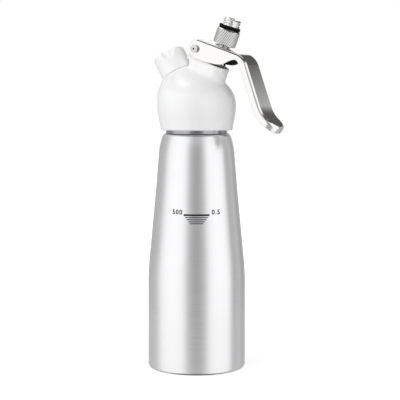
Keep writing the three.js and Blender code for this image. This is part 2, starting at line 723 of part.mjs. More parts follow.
// The pin, along -Y from its tail at the rear to its dimpled head at the front.
function makeLeverPin() {
  const headBase = leverHalfWidth + RUNNING_GAP;
  const headTop = headBase + PIN_HEAD_THICKNESS;
  const tail = -headBase - RUNNING_GAP - PIN_TAIL_LENGTH;
  const profile = [
    [0, tail],
    [PIN_RADIUS, tail],
    [PIN_RADIUS, headBase],
    [PIN_HEAD_RADIUS, headBase],
    [PIN_HEAD_RADIUS, headTop - PIN_HEAD_EDGE],
    [PIN_HEAD_RADIUS - PIN_HEAD_EDGE, headTop],
    [PIN_DIMPLE_RADIUS, headTop],
    [0, headTop - PIN_DIMPLE_DEPTH],
  ];
  return turned(profile, PIN_SEGMENTS).rotateX(Math.PI / 2);
}

function makePinRetainer() {
  const top = -leverHalfWidth - RUNNING_GAP;
  const bottom = top - RETAINER_THICKNESS;
  const inner = PIN_RADIUS + SEAT_GAP;
  const washer = ring(inner, RETAINER_RADIUS, bottom, top, PIN_HEAD_EDGE, PIN_SEGMENTS);
  return washer.rotateX(Math.PI / 2);
}

// The hollow stem, closed at its foot, with a collar over the spring and holes above the valve's seat.
function makeValveStem() {
  const top = socketTop - SEAT_GAP;
  const collarRadius = THRUST_RADIUS;
  const body = turned(
    [
      [0, stemEnd],
      [STEM_RADIUS, stemEnd],
      [STEM_RADIUS, collarTop - STEM_COLLAR_THICKNESS],
      [collarRadius, collarTop - STEM_COLLAR_THICKNESS],
      [collarRadius, collarTop],
      [STEM_RADIUS, collarTop],
      [STEM_RADIUS, top],
      [STEM_BORE_RADIUS, top],
      [STEM_BORE_RADIUS, -VALVE_SEAT_DEPTH],
      [0, -VALVE_SEAT_DEPTH],
    ],
    SMALL_SEGMENTS,
  );
  const hole = bar(STEM_HOLE_RADIUS, -BUSH_RADIUS, BUSH_RADIUS, PIN_SEGMENTS).rotateX(Math.PI / 2);
  const crossed = hole.clone().rotateZ(Math.PI / 2);
  return geometryOf(
    solid(body)
      .subtract(solid(hole.translate(0, 0, -STEM_HOLE_DEPTH)))
      .subtract(solid(crossed.translate(0, 0, -STEM_HOLE_DEPTH))),
  );
}

// The crowned washer that the lever's web presses on.
function makeThrustWasher() {
  const inner = STEM_RADIUS + SEAT_GAP;
  const centre = crownApex - THRUST_CROWN_RADIUS;
  const from = Math.acos(THRUST_RADIUS / THRUST_CROWN_RADIUS);
  const to = Math.acos(inner / THRUST_CROWN_RADIUS);
  const profile = [
    [inner, thrustBottom],
    [THRUST_RADIUS, thrustBottom],
    ...arc(0, centre, THRUST_CROWN_RADIUS, from, to),
    [inner, thrustBottom],
  ];
  return turned(profile, SMALL_SEGMENTS);
}

// The centre of the spring's wire. The curls lie closer at both ends than in the middle.
function springPoint(curl) {
  const span = springTop - springBottom - SPRING_WIRE;
  const share = curl / SPRING_CURLS;
  const closeness = 1 - SPRING_END_PITCH_SHARE;
  const rise = share - (closeness / (2 * Math.PI)) * Math.sin(2 * Math.PI * share);
  const angle = 2 * Math.PI * curl;
  const x = SPRING_COIL_RADIUS * Math.cos(angle);
  const y = SPRING_COIL_RADIUS * Math.sin(angle);
  return new THREE.Vector3(x, y, springBottom + SPRING_WIRE / 2 + span * rise);
}

// The least gap between the wire and itself, from points along it that are more than half a curl apart.
function springSelfGap() {
  const points = Array.from({ length: SPRING_CURLS * SPRING_STEPS_PER_CURL + 1 }, (_, i) =>
    springPoint(i / SPRING_STEPS_PER_CURL),
  );
  let least = Infinity;
  points.forEach((p, i) => {
    points.slice(i + SPRING_STEPS_PER_CURL / 2 + 1).forEach((q) => {
      least = Math.min(least, p.distanceTo(q) - SPRING_WIRE);
    });
  });
  return least;
}

function makeReturnSpring() {
  const rings = [];
  for (let i = 0; i <= SPRING_CURLS * SPRING_STEPS_PER_CURL; i += 1) {
    const centre = springPoint(i / SPRING_STEPS_PER_CURL);
    const outwards = new THREE.Vector3(centre.x, centre.y, 0).normalize();
    const upwards = new THREE.Vector3(0, 0, 1);
    const section = [];
    for (let k = 0; k < SPRING_SIDES; k += 1) {
      const angle = (2 * Math.PI * k) / SPRING_SIDES;
      const point = centre.clone();
      point.addScaledVector(outwards, (SPRING_WIRE / 2) * Math.cos(angle));
      point.addScaledVector(upwards, (SPRING_WIRE / 2) * Math.sin(angle));
      section.push(point.toArray());
    }
    rings.push(section);
  }
  return loft(rings);
}

function makeGuideBush() {
  return ring(STEM_RADIUS + RUNNING_GAP, BUSH_RADIUS, -bushBottom, -SPRING_RECESS_DEPTH, BUSH_EDGE);
}

function makeStemSeal() {
  const top = -bushBottom - SEAT_GAP;
  return ring(STEM_RADIUS + RUNNING_GAP, BUSH_RADIUS, top - STEM_SEAL_WIDTH, top, BUSH_EDGE);
}

function makeValveSeal() {
  return ring(STEM_RADIUS + SEAT_GAP, VALVE_SEAL_RADIUS, sealTop - VALVE_SEAL_THICKNESS, sealTop);
}

function makeValveDisc() {
  return ring(STEM_RADIUS + SEAT_GAP, VALVE_DISC_RADIUS, discTop - VALVE_DISC_THICKNESS, discTop);
}

// A six-sided nut on the stem's foot.
function makeValveNut() {
  const bottom = nutTop - VALVE_NUT_THICKNESS;
  const nut = bar(VALVE_NUT_RADIUS, bottom, nutTop, HEX_SIDES);
  const hole = bar(STEM_RADIUS + SEAT_GAP, bottom - CUT_OVERRUN, nutTop + CUT_OVERRUN);
  return geometryOf(solid(nut).subtract(solid(hole)));
}

// The adapter: a collar on the stem's end, a threaded spigot on top, and the way out through both.
function makeNozzleAdapter() {
  const socketRadius = STEM_RADIUS + SEAT_GAP;
  const crest = SPIGOT_ROOT_RADIUS + SPIGOT_THREAD_DEPTH;
  const body = turned(
    [
      [socketRadius, adapterBottom],
      [COLLAR_RADIUS - COLLAR_EDGE, adapterBottom],
      [COLLAR_RADIUS, adapterBottom + COLLAR_EDGE],
      [COLLAR_RADIUS, adapterShoulder - COLLAR_EDGE],
      [COLLAR_RADIUS - COLLAR_EDGE, adapterShoulder],
      [SPIGOT_ROOT_RADIUS, adapterShoulder],
      [SPIGOT_ROOT_RADIUS, adapterTop],
      [ADAPTER_OUTLET_RADIUS, adapterTop],
      [ADAPTER_OUTLET_RADIUS, socketTop],
      [socketRadius, socketTop],
      [socketRadius, adapterBottom],
    ],
    SMALL_SEGMENTS,
  );
  const ridge = threadRidge({
    rootRadius: SPIGOT_ROOT_RADIUS,
    crestRadius: crest,
    pitch: SPIGOT_THREAD_PITCH,
    turns: SPIGOT_THREAD_TURNS,
    start: adapterTop - SPIGOT_THREAD_PITCH * (SPIGOT_THREAD_TURNS + THREAD_ROOT_WIDTH_SHARE),
  });
  return geometryOf(solid(body).add(solid(ridge)));
}

function makeAdapterORing() {
  const bottom = adapterShoulder + SEAT_GAP;
  const top = adapterShoulder + O_RING_THICKNESS;
  return ring(SPIGOT_ROOT_RADIUS + SEAT_GAP, O_RING_RADIUS, bottom, top, O_RING_EDGE);
}

// The metal fitting in the head: a socket for the charger inside a threaded stub.
function makeInletFitting() {
  const body = turned(
    [
      [GAS_WAY_RADIUS, fittingBottom],
      [FITTING_RADIUS, fittingBottom],
      [FITTING_RADIUS, fittingShoulder],
      [STUB_ROOT_RADIUS, fittingShoulder],
      [STUB_ROOT_RADIUS, stubTop],
      [SOCKET_RADIUS, stubTop],
      [SOCKET_RADIUS, socketFloor],
      [GAS_WAY_RADIUS, socketFloor],
      [GAS_WAY_RADIUS, fittingBottom],
    ],
    SMALL_SEGMENTS,
  );
  const ridge = threadRidge({
    rootRadius: STUB_ROOT_RADIUS,
    crestRadius: STUB_ROOT_RADIUS + STUB_THREAD_DEPTH,
    pitch: STUB_THREAD_PITCH,
    turns: STUB_THREAD_TURNS,
    start: fittingShoulder + STUB_THREAD_START,
  });
  return geometryOf(solid(body).add(solid(ridge)));
}

// The disc with the needle that opens the charger, and two holes for the gas.
function makePiercingPin() {
  const bottom = socketFloor + SEAT_GAP;
  const top = bottom + PIERCER_THICKNESS;
  const discRadius = SOCKET_RADIUS - SEAT_GAP;
  const profile = [
    [0, bottom],
    [discRadius, bottom],
    [discRadius, top],
    [PIERCER_NEEDLE_RADIUS, top],
    [PIERCER_NEEDLE_RADIUS, top + PIERCER_NEEDLE_LENGTH / 2],
    [0, top + PIERCER_NEEDLE_LENGTH],
  ];
  let piercer = solid(turned(profile, PIN_SEGMENTS));
  const offset = (PIERCER_NEEDLE_RADIUS + GAS_WAY_RADIUS) / 2;
  for (const side of [-1, 1]) {
    const hole = bar(PIERCER_HOLE_RADIUS, bottom - CUT_OVERRUN, top + CUT_OVERRUN, PIN_SEGMENTS);
    piercer = piercer.subtract(solid(hole.translate(0, side * offset, 0)));
  }
  return geometryOf(piercer);
}

function makeInletGasket() {
  const bottom = socketFloor + SEAT_GAP + PIERCER_THICKNESS + SEAT_GAP;
  return ring(INLET_GASKET_INNER_RADIUS, SOCKET_RADIUS - SEAT_GAP, bottom, bottom + INLET_GASKET_THICKNESS);
}

// The rubber valve under the fitting, a flange with a tapered snout.
function makeCheckValve() {
  const top = fittingBottom - SEAT_GAP;
  const flange = top - CHECK_FLANGE_THICKNESS + SEAT_GAP;
  const profile = [
    [CHECK_BORE_RADIUS, flange - CHECK_BODY_LENGTH],
    [CHECK_TIP_RADIUS, flange - CHECK_BODY_LENGTH],
    [CHECK_BODY_RADIUS, flange - CHECK_BODY_LENGTH / 2],
    [CHECK_BODY_RADIUS, flange],
    [CHECK_FLANGE_RADIUS, flange],
    [CHECK_FLANGE_RADIUS, top],
    [CHECK_BORE_RADIUS, top],
    [CHECK_BORE_RADIUS, flange - CHECK_BODY_LENGTH],
  ];
  return turned(profile, PIN_SEGMENTS);
}

// The cap: a cup with finger scallops that are deepest at the top, threaded inside.
function makePortCap() {
  const cup = turned([
    [capBoreRadius, capFoot],
    [CAP_RADIUS - SHOULDER_EDGE, capFoot],
    [CAP_RADIUS, capFoot + SHOULDER_EDGE],
    ...arc(CAP_RADIUS - CAP_EDGE, capTop - CAP_EDGE, CAP_EDGE, 0, Math.PI / 2, 2),
    [0, capTop],
    [0, capBoreTop],
    [capBoreRadius, capBoreTop],
    [capBoreRadius, capFoot],
  ]);
  let cap = solid(cup);
  const lean = Math.atan2(SCALLOP_DEPTH, SCALLOP_RUN);
  for (let i = 0; i < SCALLOP_COUNT; i += 1) {
    const scoop = bar(SCALLOP_RADIUS, -2 * SCALLOP_RUN, SCALLOP_RUN)
      .rotateY(-lean)
      .translate(CAP_RADIUS - SCALLOP_DEPTH + SCALLOP_RADIUS / Math.cos(lean), 0, capTop)
      .rotateZ(SCALLOP_ANGLE + (2 * Math.PI * i) / SCALLOP_COUNT);
    cap = cap.subtract(solid(scoop));
  }
  const ridge = threadRidge({
    rootRadius: capBoreRadius,
    crestRadius: STUB_ROOT_RADIUS + CAP_THREAD_GAP,
    pitch: STUB_THREAD_PITCH,
    turns: STUB_THREAD_TURNS,
    start: fittingShoulder + STUB_THREAD_START - STUB_THREAD_PITCH * THREAD_LEAD_SHARE,
  });
  return geometryOf(cap.add(solid(ridge)));
}

function makeCapLiner() {
  return bar(capBoreRadius - SEAT_GAP, linerBottom, linerTop);
}

// Finishes.
const ALUMINIUM = { color: 0xc4c5c7, roughness: 0.34, metalness: 1 };
const WHITE_PLASTIC = { color: 0xf2f2f2, roughness: 0.22, metalness: 0 };
const POLISHED_STEEL = { color: 0xcfcfcb, roughness: 0.14, metalness: 1 };
const TURNED_STEEL = { color: 0xb9b9b7, roughness: 0.28, metalness: 1 };
const SPRING_STEEL = { color: 0x9d9d9d, roughness: 0.3, metalness: 1 };
const BLACK_RUBBER = { color: 0x101010, roughness: 0.6, metalness: 0 };
const PALE_SILICONE = { color: 0xd9dcdc, roughness: 0.5, metalness: 0 };
const GREY_POLYMER = { color: 0x8d9093, roughness: 0.45, metalness: 0 };

function piece(name, geometry, finish) {
  const mesh = new THREE.Mesh(geometry, new THREE.MeshStandardMaterial(finish));
  mesh.name = name;
  return mesh;
}

const wasm = await Module();
wasm.setup();

const valve = new THREE.Group();
valve.position.set(VALVE_REACH, 0, VALVE_HEIGHT);
valve.rotation.y = VALVE_TILT;
valve.add(
  piece("valve_stem", makeValveStem(), TURNED_STEEL),
  piece("thrust_washer", makeThrustWasher(), POLISHED_STEEL),
  piece("return_spring", makeReturnSpring(), SPRING_STEEL),
  piece("guide_bush", makeGuideBush(), GREY_POLYMER),
  piece("stem_seal_ring", makeStemSeal(), BLACK_RUBBER),
  piece("valve_seal", makeValveSeal(), BLACK_RUBBER),
  piece("valve_disc", makeValveDisc(), TURNED_STEEL),
  piece("valve_nut", makeValveNut(), TURNED_STEEL),
  piece("nozzle_adapter", makeNozzleAdapter(), TURNED_STEEL),
  piece("adapter_o_ring", makeAdapterORing(), BLACK_RUBBER),
);

const pivot = new THREE.Group();
pivot.position.set(-PIVOT_BACK, 0, PIVOT_RISE);
pivot.rotation.y = armAngleInValve;
pivot.add(
  piece("lever", makeLever(), POLISHED_STEEL),
  piece("lever_pin", makeLeverPin(), TURNED_STEEL),
  piece("pin_retainer", makePinRetainer(), TURNED_STEEL),
);
valve.add(pivot);

const inlet = new THREE.Group();
inlet.position.set(0, 0, INLET_HEIGHT);
inlet.rotation.y = INLET_TILT;
inlet.add(
  piece("inlet_fitting", makeInletFitting(), TURNED_STEEL),
  piece("piercing_pin", makePiercingPin(), TURNED_STEEL),
  piece("inlet_gasket", makeInletGasket(), BLACK_RUBBER),
  piece("check_valve", makeCheckValve(), BLACK_RUBBER),
  piece("port_cap", makePortCap(), WHITE_PLASTIC),
  piece("cap_liner", makeCapLiner(), PALE_SILICONE),
);

const head = new THREE.Group();
head.position.set(0, 0, headFoot);
head.add(
  piece("head", makeHead(), WHITE_PLASTIC),
  piece("head_gasket", makeHeadGasket(), PALE_SILICONE),
  valve,
  inlet,
);

const dispenser = new THREE.Group();
dispenser.add(piece("bottle", makeBottle(), ALUMINIUM), head);

console.log("least gap between the spring's curls: " + springSelfGap().toFixed(2) + " mm");

export default dispenser;
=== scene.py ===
import json
import math

import bpy
import numpy as np
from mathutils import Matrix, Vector


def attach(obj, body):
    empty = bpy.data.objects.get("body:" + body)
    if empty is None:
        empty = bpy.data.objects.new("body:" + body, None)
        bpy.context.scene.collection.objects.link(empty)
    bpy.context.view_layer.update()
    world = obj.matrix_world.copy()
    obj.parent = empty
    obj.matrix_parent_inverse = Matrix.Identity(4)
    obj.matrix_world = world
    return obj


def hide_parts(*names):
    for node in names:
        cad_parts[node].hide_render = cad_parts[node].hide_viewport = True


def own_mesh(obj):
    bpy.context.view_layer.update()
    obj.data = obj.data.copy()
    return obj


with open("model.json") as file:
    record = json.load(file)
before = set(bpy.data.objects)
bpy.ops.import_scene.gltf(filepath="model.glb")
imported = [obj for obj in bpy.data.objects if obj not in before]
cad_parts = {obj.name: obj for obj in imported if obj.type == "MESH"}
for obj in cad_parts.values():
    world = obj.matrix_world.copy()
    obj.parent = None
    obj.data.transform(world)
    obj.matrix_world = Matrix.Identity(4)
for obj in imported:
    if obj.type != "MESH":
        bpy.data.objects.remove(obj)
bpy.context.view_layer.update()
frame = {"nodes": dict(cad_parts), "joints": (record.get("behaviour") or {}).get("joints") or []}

# Shapes are drawn in millimetres in local frames, and placed in metres in the part's frame.
MM = 0.001
QUARTER = math.pi / 2
EMBED = 0.1
LINE_MARGIN = 0.01

# Bottle.
BOTTLE_RADIUS = 38.6
BOTTLE_WALL = 1.2
BOTTLE_FLOOR = 2.0
BOTTLE_BASE_ROUND = 3.0
BOTTLE_STRAIGHT = 72.0
BOTTLE_TAPER = 114.6
NECK_RADIUS = 24.3
NECK_WALL = 2.0
NECK_HEIGHT = 20.0
NECK_RING = 2.4
NECK_CHAMFER = 0.6
# Each row is a share of the taper's height and a share of the way in from the body to the neck.
TAPER_SHARES = [
    (0, 0), (0.1, 0.045), (0.27, 0.175), (0.436, 0.301), (0.603, 0.427), (0.77, 0.538),
    (0.867, 0.608), (0.922, 0.678), (0.963, 0.762), (0.985, 0.825), (0.9965, 0.909), (1, 1),
]
NECK_THREAD = {"pitch": 4.0, "turns": 1.75, "depth": 1.4, "start": 6.0}

# Head, over its foot.
FOOT_RADIUS = 28.3
FOOT_ROUND = 1.1
WIDEST_RADIUS = 31.1
WIDEST_HEIGHT = 19.5
DOME_RISE = 26.0
SKIRT_FLARE_SHARE = 0.82
THREAD_GAP = 0.6
THREAD_LEAD_SHARE = 0.44
THREAD_STEEPNESS = 1.9
SEAT_GAP = 0.3
GASKET_THICKNESS = 2.0
GASKET_INNER = 20.6
CHAMBER_RADIUS = 20.2
CHAMBER_WALL = 3.0
CHAMBER_TOP_RADIUS = 9.0
CHAMBER_CONE = 9.0

# Valve boss and its bores, along the valve from the valve's origin.
BOSS_WALL = 1.5
BOSS_FRONT = 1.0
BOSS_LENGTH = 15.4
BOSS_RISE = 2.6
BOSS_DEPTH = 17.0
BOSS_EDGE = 0.8
BOSS_FILLET = 2.2
LUG_FILLET = 0.5
BORE_EDGE = 0.3
VALVE_TILT = math.radians(22)
RECESS_STEP = 0.4
RECESS_DEPTH = 8.0
BUSH_RADIUS = 7.2
BUSH_LENGTH = 7.7
STEM_SEAL_WIDTH = 2.0
VALVE_TUBE_RADIUS = 9.5
SEAT_DEPTH = 24.0
FLOW_RADIUS = 5.8
STEM_RADIUS = 4.0
STEM_BORE = 2.2
STEM_HOLE_RADIUS = 1.2
STEM_HOLE_DEPTH = 21.0
COLLAR_THICKNESS = 1.5
VALVE_SEAL_RADIUS = 8.0
VALVE_SEAL_THICKNESS = 2.0
VALVE_DISC_RADIUS = 8.4
VALVE_DISC_THICKNESS = 1.8
VALVE_NUT_THICKNESS = 2.8
STEM_END = 0.9
WIRE = 1.3
COIL_RADIUS = 6.0
CURLS = 7
END_PITCH_SHARE = 0.66

# Lever, in a frame at its pivot with X along the arm.
PIVOT_BACK = 17.06
PIVOT_RISE = 8.86
ARM_TILT = math.radians(19.5)
SHEET = 1.3
CHANNEL_REACH = 43.0
CREASE_ROUND = 2.3
SHEET_EDGE = 0.6
ARM_TOP = 8.15
ARM_BOTTOM = 6.9
ARM_END_REACH = 6.05
ARM_LENGTH = 35.45
WEB_BACK = 1.0
BEND_RADIUS = 15.3
BEND_TURN = math.radians(51)
GRIP_LENGTH = 32.6
FLARE_RADIUS = 25.0
FLARE_TURN = math.radians(31.3)
TIP_LENGTH = 9.2
GRIP_DEPTH = 6.2
TIP_DEPTH = 6.0
TIP_CORNER_SHARE = 0.96
SLOT_HALF_WIDTH = 4.6
SLOT_BACK = 2.0
SLOT_FRONT = 0.6
# Each row is a share of the arm's length and a share of the arm's depth up from its lower edge.
ARCH_SHARES = [
    (0.339, 0), (0.618, 0.1), (0.755, 0.205), (0.86, 0.42), (0.975, 0.615), (1.065, 0.65), (1.139, 0.52),
]
CROWN_RADIUS = 14.0
THRUST_RADIUS = 6.8
THRUST_EDGE = 1.2
PIN_RADIUS = 1.6
PIN_HEAD_RADIUS = 3.1
PIN_HEAD_THICKNESS = 1.6
PIN_CROWN = 0.35
PIN_DIMPLE_RADIUS = 0.75
PIN_DIMPLE_DEPTH = 0.9
PIN_TAIL = 1.6
RETAINER_RADIUS = 3.0
RETAINER_THICKNESS = 1.2
LUG_RADIUS = 5.6
LUG_SIDE_GAP = 0.6

# Nozzle adapter.
ADAPTER_STAND_OFF = 1.8
COLLAR_RADIUS = 9.15
COLLAR_LENGTH = 12.0
O_RING_RADIUS = 8.5
# A black ring under the adapter's collar, put there as painted shade in the gap.
COLLAR_SHADE_RING_RADIUS = 6.8
COLLAR_SHADE_RING_THICKNESS = 0.5
O_RING_THICKNESS = 2.8
SPIGOT_ROOT = 6.2
SPIGOT_LENGTH = 8.8
SPIGOT_THREAD = {"pitch": 2.0, "turns": 3.0, "depth": 1.0}
OUTLET_RADIUS = 3.0
ADAPTER_SOCKET = 9.0
KNURL_GROOVES = 32
KNURL_DEPTH = 0.2
KNURL_CROSS_DEPTH = 0.03
KNURL_ANGLE = math.radians(50)
KNURL_SEGMENTS = 840

# Inlet and its cap, in a frame on the head's axis with Z along the inlet.
SHOULDER_RADIUS = 14.3
SHOULDER_RISE = 34.0
SHOULDER_EDGE = 0.9
SHOULDER_WAIST = 1.2
SHOULDER_STEEPNESS = 1.19
SHOULDER_BLEND = 7.0
SHOULDER_BLEND_RISE = 12.0
SHOULDER_BLEND_REACH = 24.0
INLET_BORE_DEPTH = 10.0
FITTING_RADIUS = 9.2
STUB_ROOT = 8.0
STUB_LENGTH = 12.0
STUB_THREAD = {"pitch": 3.0, "turns": 2.0, "depth": 1.2, "start": 2.6}
SOCKET_RADIUS = 6.2
SOCKET_DEPTH = 19.0
GAS_WAY_RADIUS = 2.6
CHECK_FLANGE_RADIUS = 4.5
CHECK_FLANGE_THICKNESS = 1.2
CHECK_BODY_RADIUS = 2.8
CHECK_BODY_LENGTH = 7.0
CHECK_TIP_RADIUS = 1.2
CHECK_BORE = 0.8
PIERCER_THICKNESS = 2.0
INLET_GASKET_THICKNESS = 1.8
INLET_GASKET_INNER = 3.4
CAP_RADIUS = 13.0
CAP_THREAD_GAP = 0.35
CAP_TOP = 4.5
CAP_ROUND = 2.4
CAP_FOOT_ROUND = 0.7
LINER_THICKNESS = 1.6
SCALLOPS = 3
SCALLOP_RADIUS = 7.5
SCALLOP_DEPTH = 5.0
SCALLOP_RUN = 9.0
SCALLOP_ANGLE = math.radians(-63)
SCALLOP_ROUND = 1.4

# Print on the bottle: bars under the fill line, and plain numbers beside it.
PRINT_AZIMUTH = math.radians(-59)
PRINT_STAND = 0.03
# Each row is a bar's height, width and thickness.
PRINT_BARS = [
    (124.4, 20.3, 1.35), (122.6, 17.8, 0.62), (121.0, 15.4, 0.62), (119.4, 12.8, 0.62), (117.9, 10.7, 0.62),
]
# Each row is a number and its azimuth from the bars' middle, in degrees.
PRINT_WORDS = [("500", -26.0), ("0.5", 26.0)]
PRINT_WORD_HEIGHT = 124.9
PRINT_WORD_SIZE = 5.0
PRINT_WORD_BOLDNESS = 0.14
PRINT_WORD_SPACING = 1.2

# Camera, as fitted to the photograph.
CAMERA_PLACE = (0.4915, -0.8129, 0.2055)
CAMERA_AZIMUTH = math.radians(31)
CAMERA_FALL = math.radians(4.33)
CAMERA_LENS = 107.775

# How finely the surfaces are divided.
ROUND_SEGMENTS = 192
SMALL_SEGMENTS = 96
PIN_SEGMENTS = 64
SHARP_ANGLE = math.radians(32)
SPRING_SHARP_ANGLE = math.radians(50)
NET_CELL = 0.45
NET_BLOCK = 8
NET_CHUNK = 400000
SLOPE_STEP = 0.02

# Places that follow from the sizes above.
NECK_BASE = BOTTLE_STRAIGHT + BOTTLE_TAPER
NECK_RIM = NECK_BASE + NECK_HEIGHT
HEAD_FOOT = NECK_BASE + NECK_RING
HEAD_BORE = NECK_RADIUS + NECK_THREAD["depth"] + THREAD_GAP
GASKET_SEAT = NECK_RIM - HEAD_FOOT + GASKET_THICKNESS + 2 * SEAT_GAP
BUSH_BORE = BUSH_RADIUS + SEAT_GAP
RECESS_RADIUS = BUSH_BORE + RECESS_STEP
BOSS_RADIUS = RECESS_RADIUS + BOSS_WALL
HALF_WIDTH = BOSS_RADIUS + SEAT_GAP + SHEET
TIP_CORNER = TIP_CORNER_SHARE * HALF_WIDTH
BUSH_BOTTOM = RECESS_DEPTH + BUSH_LENGTH
SEAL_SHOULDER = BUSH_BOTTOM + STEM_SEAL_WIDTH + 2 * SEAT_GAP
ARM_IN_VALVE = ARM_TILT - VALVE_TILT
PLATE_TOP = PIVOT_RISE + (ARM_TOP - PIVOT_BACK * math.sin(ARM_IN_VALVE)) / math.cos(ARM_IN_VALVE)
PLATE_UNDERSIDE = PLATE_TOP - SHEET / math.cos(ARM_IN_VALVE)
CROWN_APEX = PLATE_UNDERSIDE - SEAT_GAP + CROWN_RADIUS - math.sqrt(CROWN_RADIUS**2 - SLOT_HALF_WIDTH**2)
THRUST_TOP_EDGE = CROWN_APEX - CROWN_RADIUS + math.sqrt(CROWN_RADIUS**2 - THRUST_RADIUS**2)
THRUST_BOTTOM = THRUST_TOP_EDGE - THRUST_EDGE
STEM_COLLAR_TOP = THRUST_BOTTOM - SEAT_GAP
SPRING_TOP = STEM_COLLAR_TOP - COLLAR_THICKNESS - SEAT_GAP
SPRING_BOTTOM = -RECESS_DEPTH + SEAT_GAP
ADAPTER_BOTTOM = PLATE_TOP + ADAPTER_STAND_OFF
ADAPTER_SHOULDER = ADAPTER_BOTTOM + COLLAR_LENGTH
ADAPTER_TOP = ADAPTER_SHOULDER + SPIGOT_LENGTH
SOCKET_TOP = ADAPTER_BOTTOM + ADAPTER_SOCKET
SEAL_TOP = -SEAT_DEPTH - SEAT_GAP
DISC_TOP = SEAL_TOP - VALVE_SEAL_THICKNESS - SEAT_GAP
NUT_TOP = DISC_TOP - VALVE_DISC_THICKNESS - SEAT_GAP
STEM_FOOT = NUT_TOP - VALVE_NUT_THICKNESS - STEM_END
LUG_HALF_WIDTH = HALF_WIDTH - SHEET - LUG_SIDE_GAP
PIN_HOLE = PIN_RADIUS + SEAT_GAP
FITTING_BOTTOM = SHOULDER_RISE - INLET_BORE_DEPTH + SEAT_GAP
FITTING_SHOULDER = SHOULDER_RISE + SEAT_GAP
STUB_TOP = FITTING_SHOULDER + STUB_LENGTH
SOCKET_FLOOR = STUB_TOP - SOCKET_DEPTH
CAP_FOOT = FITTING_SHOULDER + SEAT_GAP
CAP_BORE = STUB_ROOT + STUB_THREAD["depth"] + CAP_THREAD_GAP
LINER_BOTTOM = STUB_TOP + SEAT_GAP
LINER_TOP = LINER_BOTTOM + LINER_THICKNESS
CAP_BORE_TOP = LINER_TOP + SEAT_GAP
CAP_HEIGHT = CAP_BORE_TOP + CAP_TOP


class Place:
    """A local frame in millimetres: its origin in metres, and its axes in the part's frame."""

    def __init__(self, origin, x_axis, z_axis):
        x_axis, z_axis = (np.array(v, float) / np.linalg.norm(v) for v in (x_axis, z_axis))
        self.origin = np.array(origin, float)
        self.axes = np.array([x_axis, np.cross(z_axis, x_axis), z_axis])

    def world(self, points):
        return self.origin + np.asarray(points) @ self.axes * MM

    def turned(self, directions):
        return np.asarray(directions) @ self.axes

    def local(self, points):
        return (np.asarray(points) - self.origin) @ self.axes.T / MM


def joint(name):
    return next(j for j in frame["joints"] if j["name"] == name)


# The local frames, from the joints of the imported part.
along_stem = -np.array(joint("stem_slide")["axis"])
across_stem = np.array([along_stem[2], 0, -along_stem[0]])
pivot = np.array(joint("lever_press")["pos_m"])
inlet_axis = np.array(joint("cap_turn")["axis"])
PART = Place((0, 0, 0), (1, 0, 0), (0, 0, 1))
HEAD = Place(joint("head_turn")["pos_m"], (1, 0, 0), (0, 0, 1))
VALVE = Place(pivot + (across_stem * PIVOT_BACK - along_stem * PIVOT_RISE) * MM, across_stem, along_stem)
LEVER = Place(
    pivot, (math.cos(ARM_TILT), 0, -math.sin(ARM_TILT)), (math.sin(ARM_TILT), 0, math.cos(ARM_TILT))
)
INLET = Place(joint("cap_turn")["pos_m"], (inlet_axis[2], 0, -inlet_axis[0]), inlet_axis)
PIN = Place(pivot, LEVER.axes[0], (0, -1, 0))


# Curves.
def arc(centre_x, centre_y, radius, start, end, steps=8):
    angles = np.linspace(start, end, steps + 1)
    return [(centre_x + radius * math.cos(a), centre_y + radius * math.sin(a)) for a in angles]


def smooth(shares, start_x, size_x, start_y, size_y, steps=10):
    """A curve that passes smoothly through rows of shares, each scaled by its size."""
    knots = np.array([(start_x + x * size_x, start_y + y * size_y) for x, y in shares])
    padded = np.vstack([knots[:1], knots, knots[-1:]])
    points = []
    for i in range(len(knots) - 1):
        before, first, second, after = padded[i : i + 4]
        into, out = (second - before) / 2, (after - first) / 2
        for t in np.arange(steps) / steps:
            cubic = (2 * first - 2 * second + into + out) * t**3
            square = (-3 * first + 3 * second - 2 * into - out) * t**2
            points.append(tuple(cubic + square + into * t + first))
    return points + [tuple(knots[-1])]


def ridge(height, angle, thread, start, half_width=0.27):
    """How far a screw ridge stands up, from 0 to its depth, at a height and an angle in radians."""
    pitch = thread["pitch"]
    turn = (height - start) / pitch - angle / (2 * math.pi)
    whole = np.clip(np.round(turn), 0, None)
    reach = np.clip(whole + angle / (2 * math.pi), 0, thread["turns"])
    beyond = np.abs(whole + angle / (2 * math.pi) - reach)
    off = np.abs(turn - whole) * pitch + beyond * pitch
    wave = 0.5 + 0.5 * np.cos(np.clip(off / (half_width * pitch), 0, 1) * math.pi)
    return thread["depth"] * wave


# Distance fields. A field is below zero inside its body.
def round_max(a, b, radius):
    """Where both fields hold, with the edge between them rounded."""
    beyond = np.hypot(np.maximum(a + radius, 0), np.maximum(b + radius, 0))
    return np.minimum(np.maximum(a, b), -radius) + beyond


def round_min(a, b, radius):
    """Where either field holds, with a round fillet in the corner between them."""
    return -round_max(-a, -b, radius)


def soft_min(a, b, width):
    """Where either field holds, with a soft swelling where they meet."""
    share = np.clip(0.5 + 0.5 * (b - a) / np.maximum(width, 1e-6), 0, 1)
    return b * (1 - share) + a * share - width * share * (1 - share)


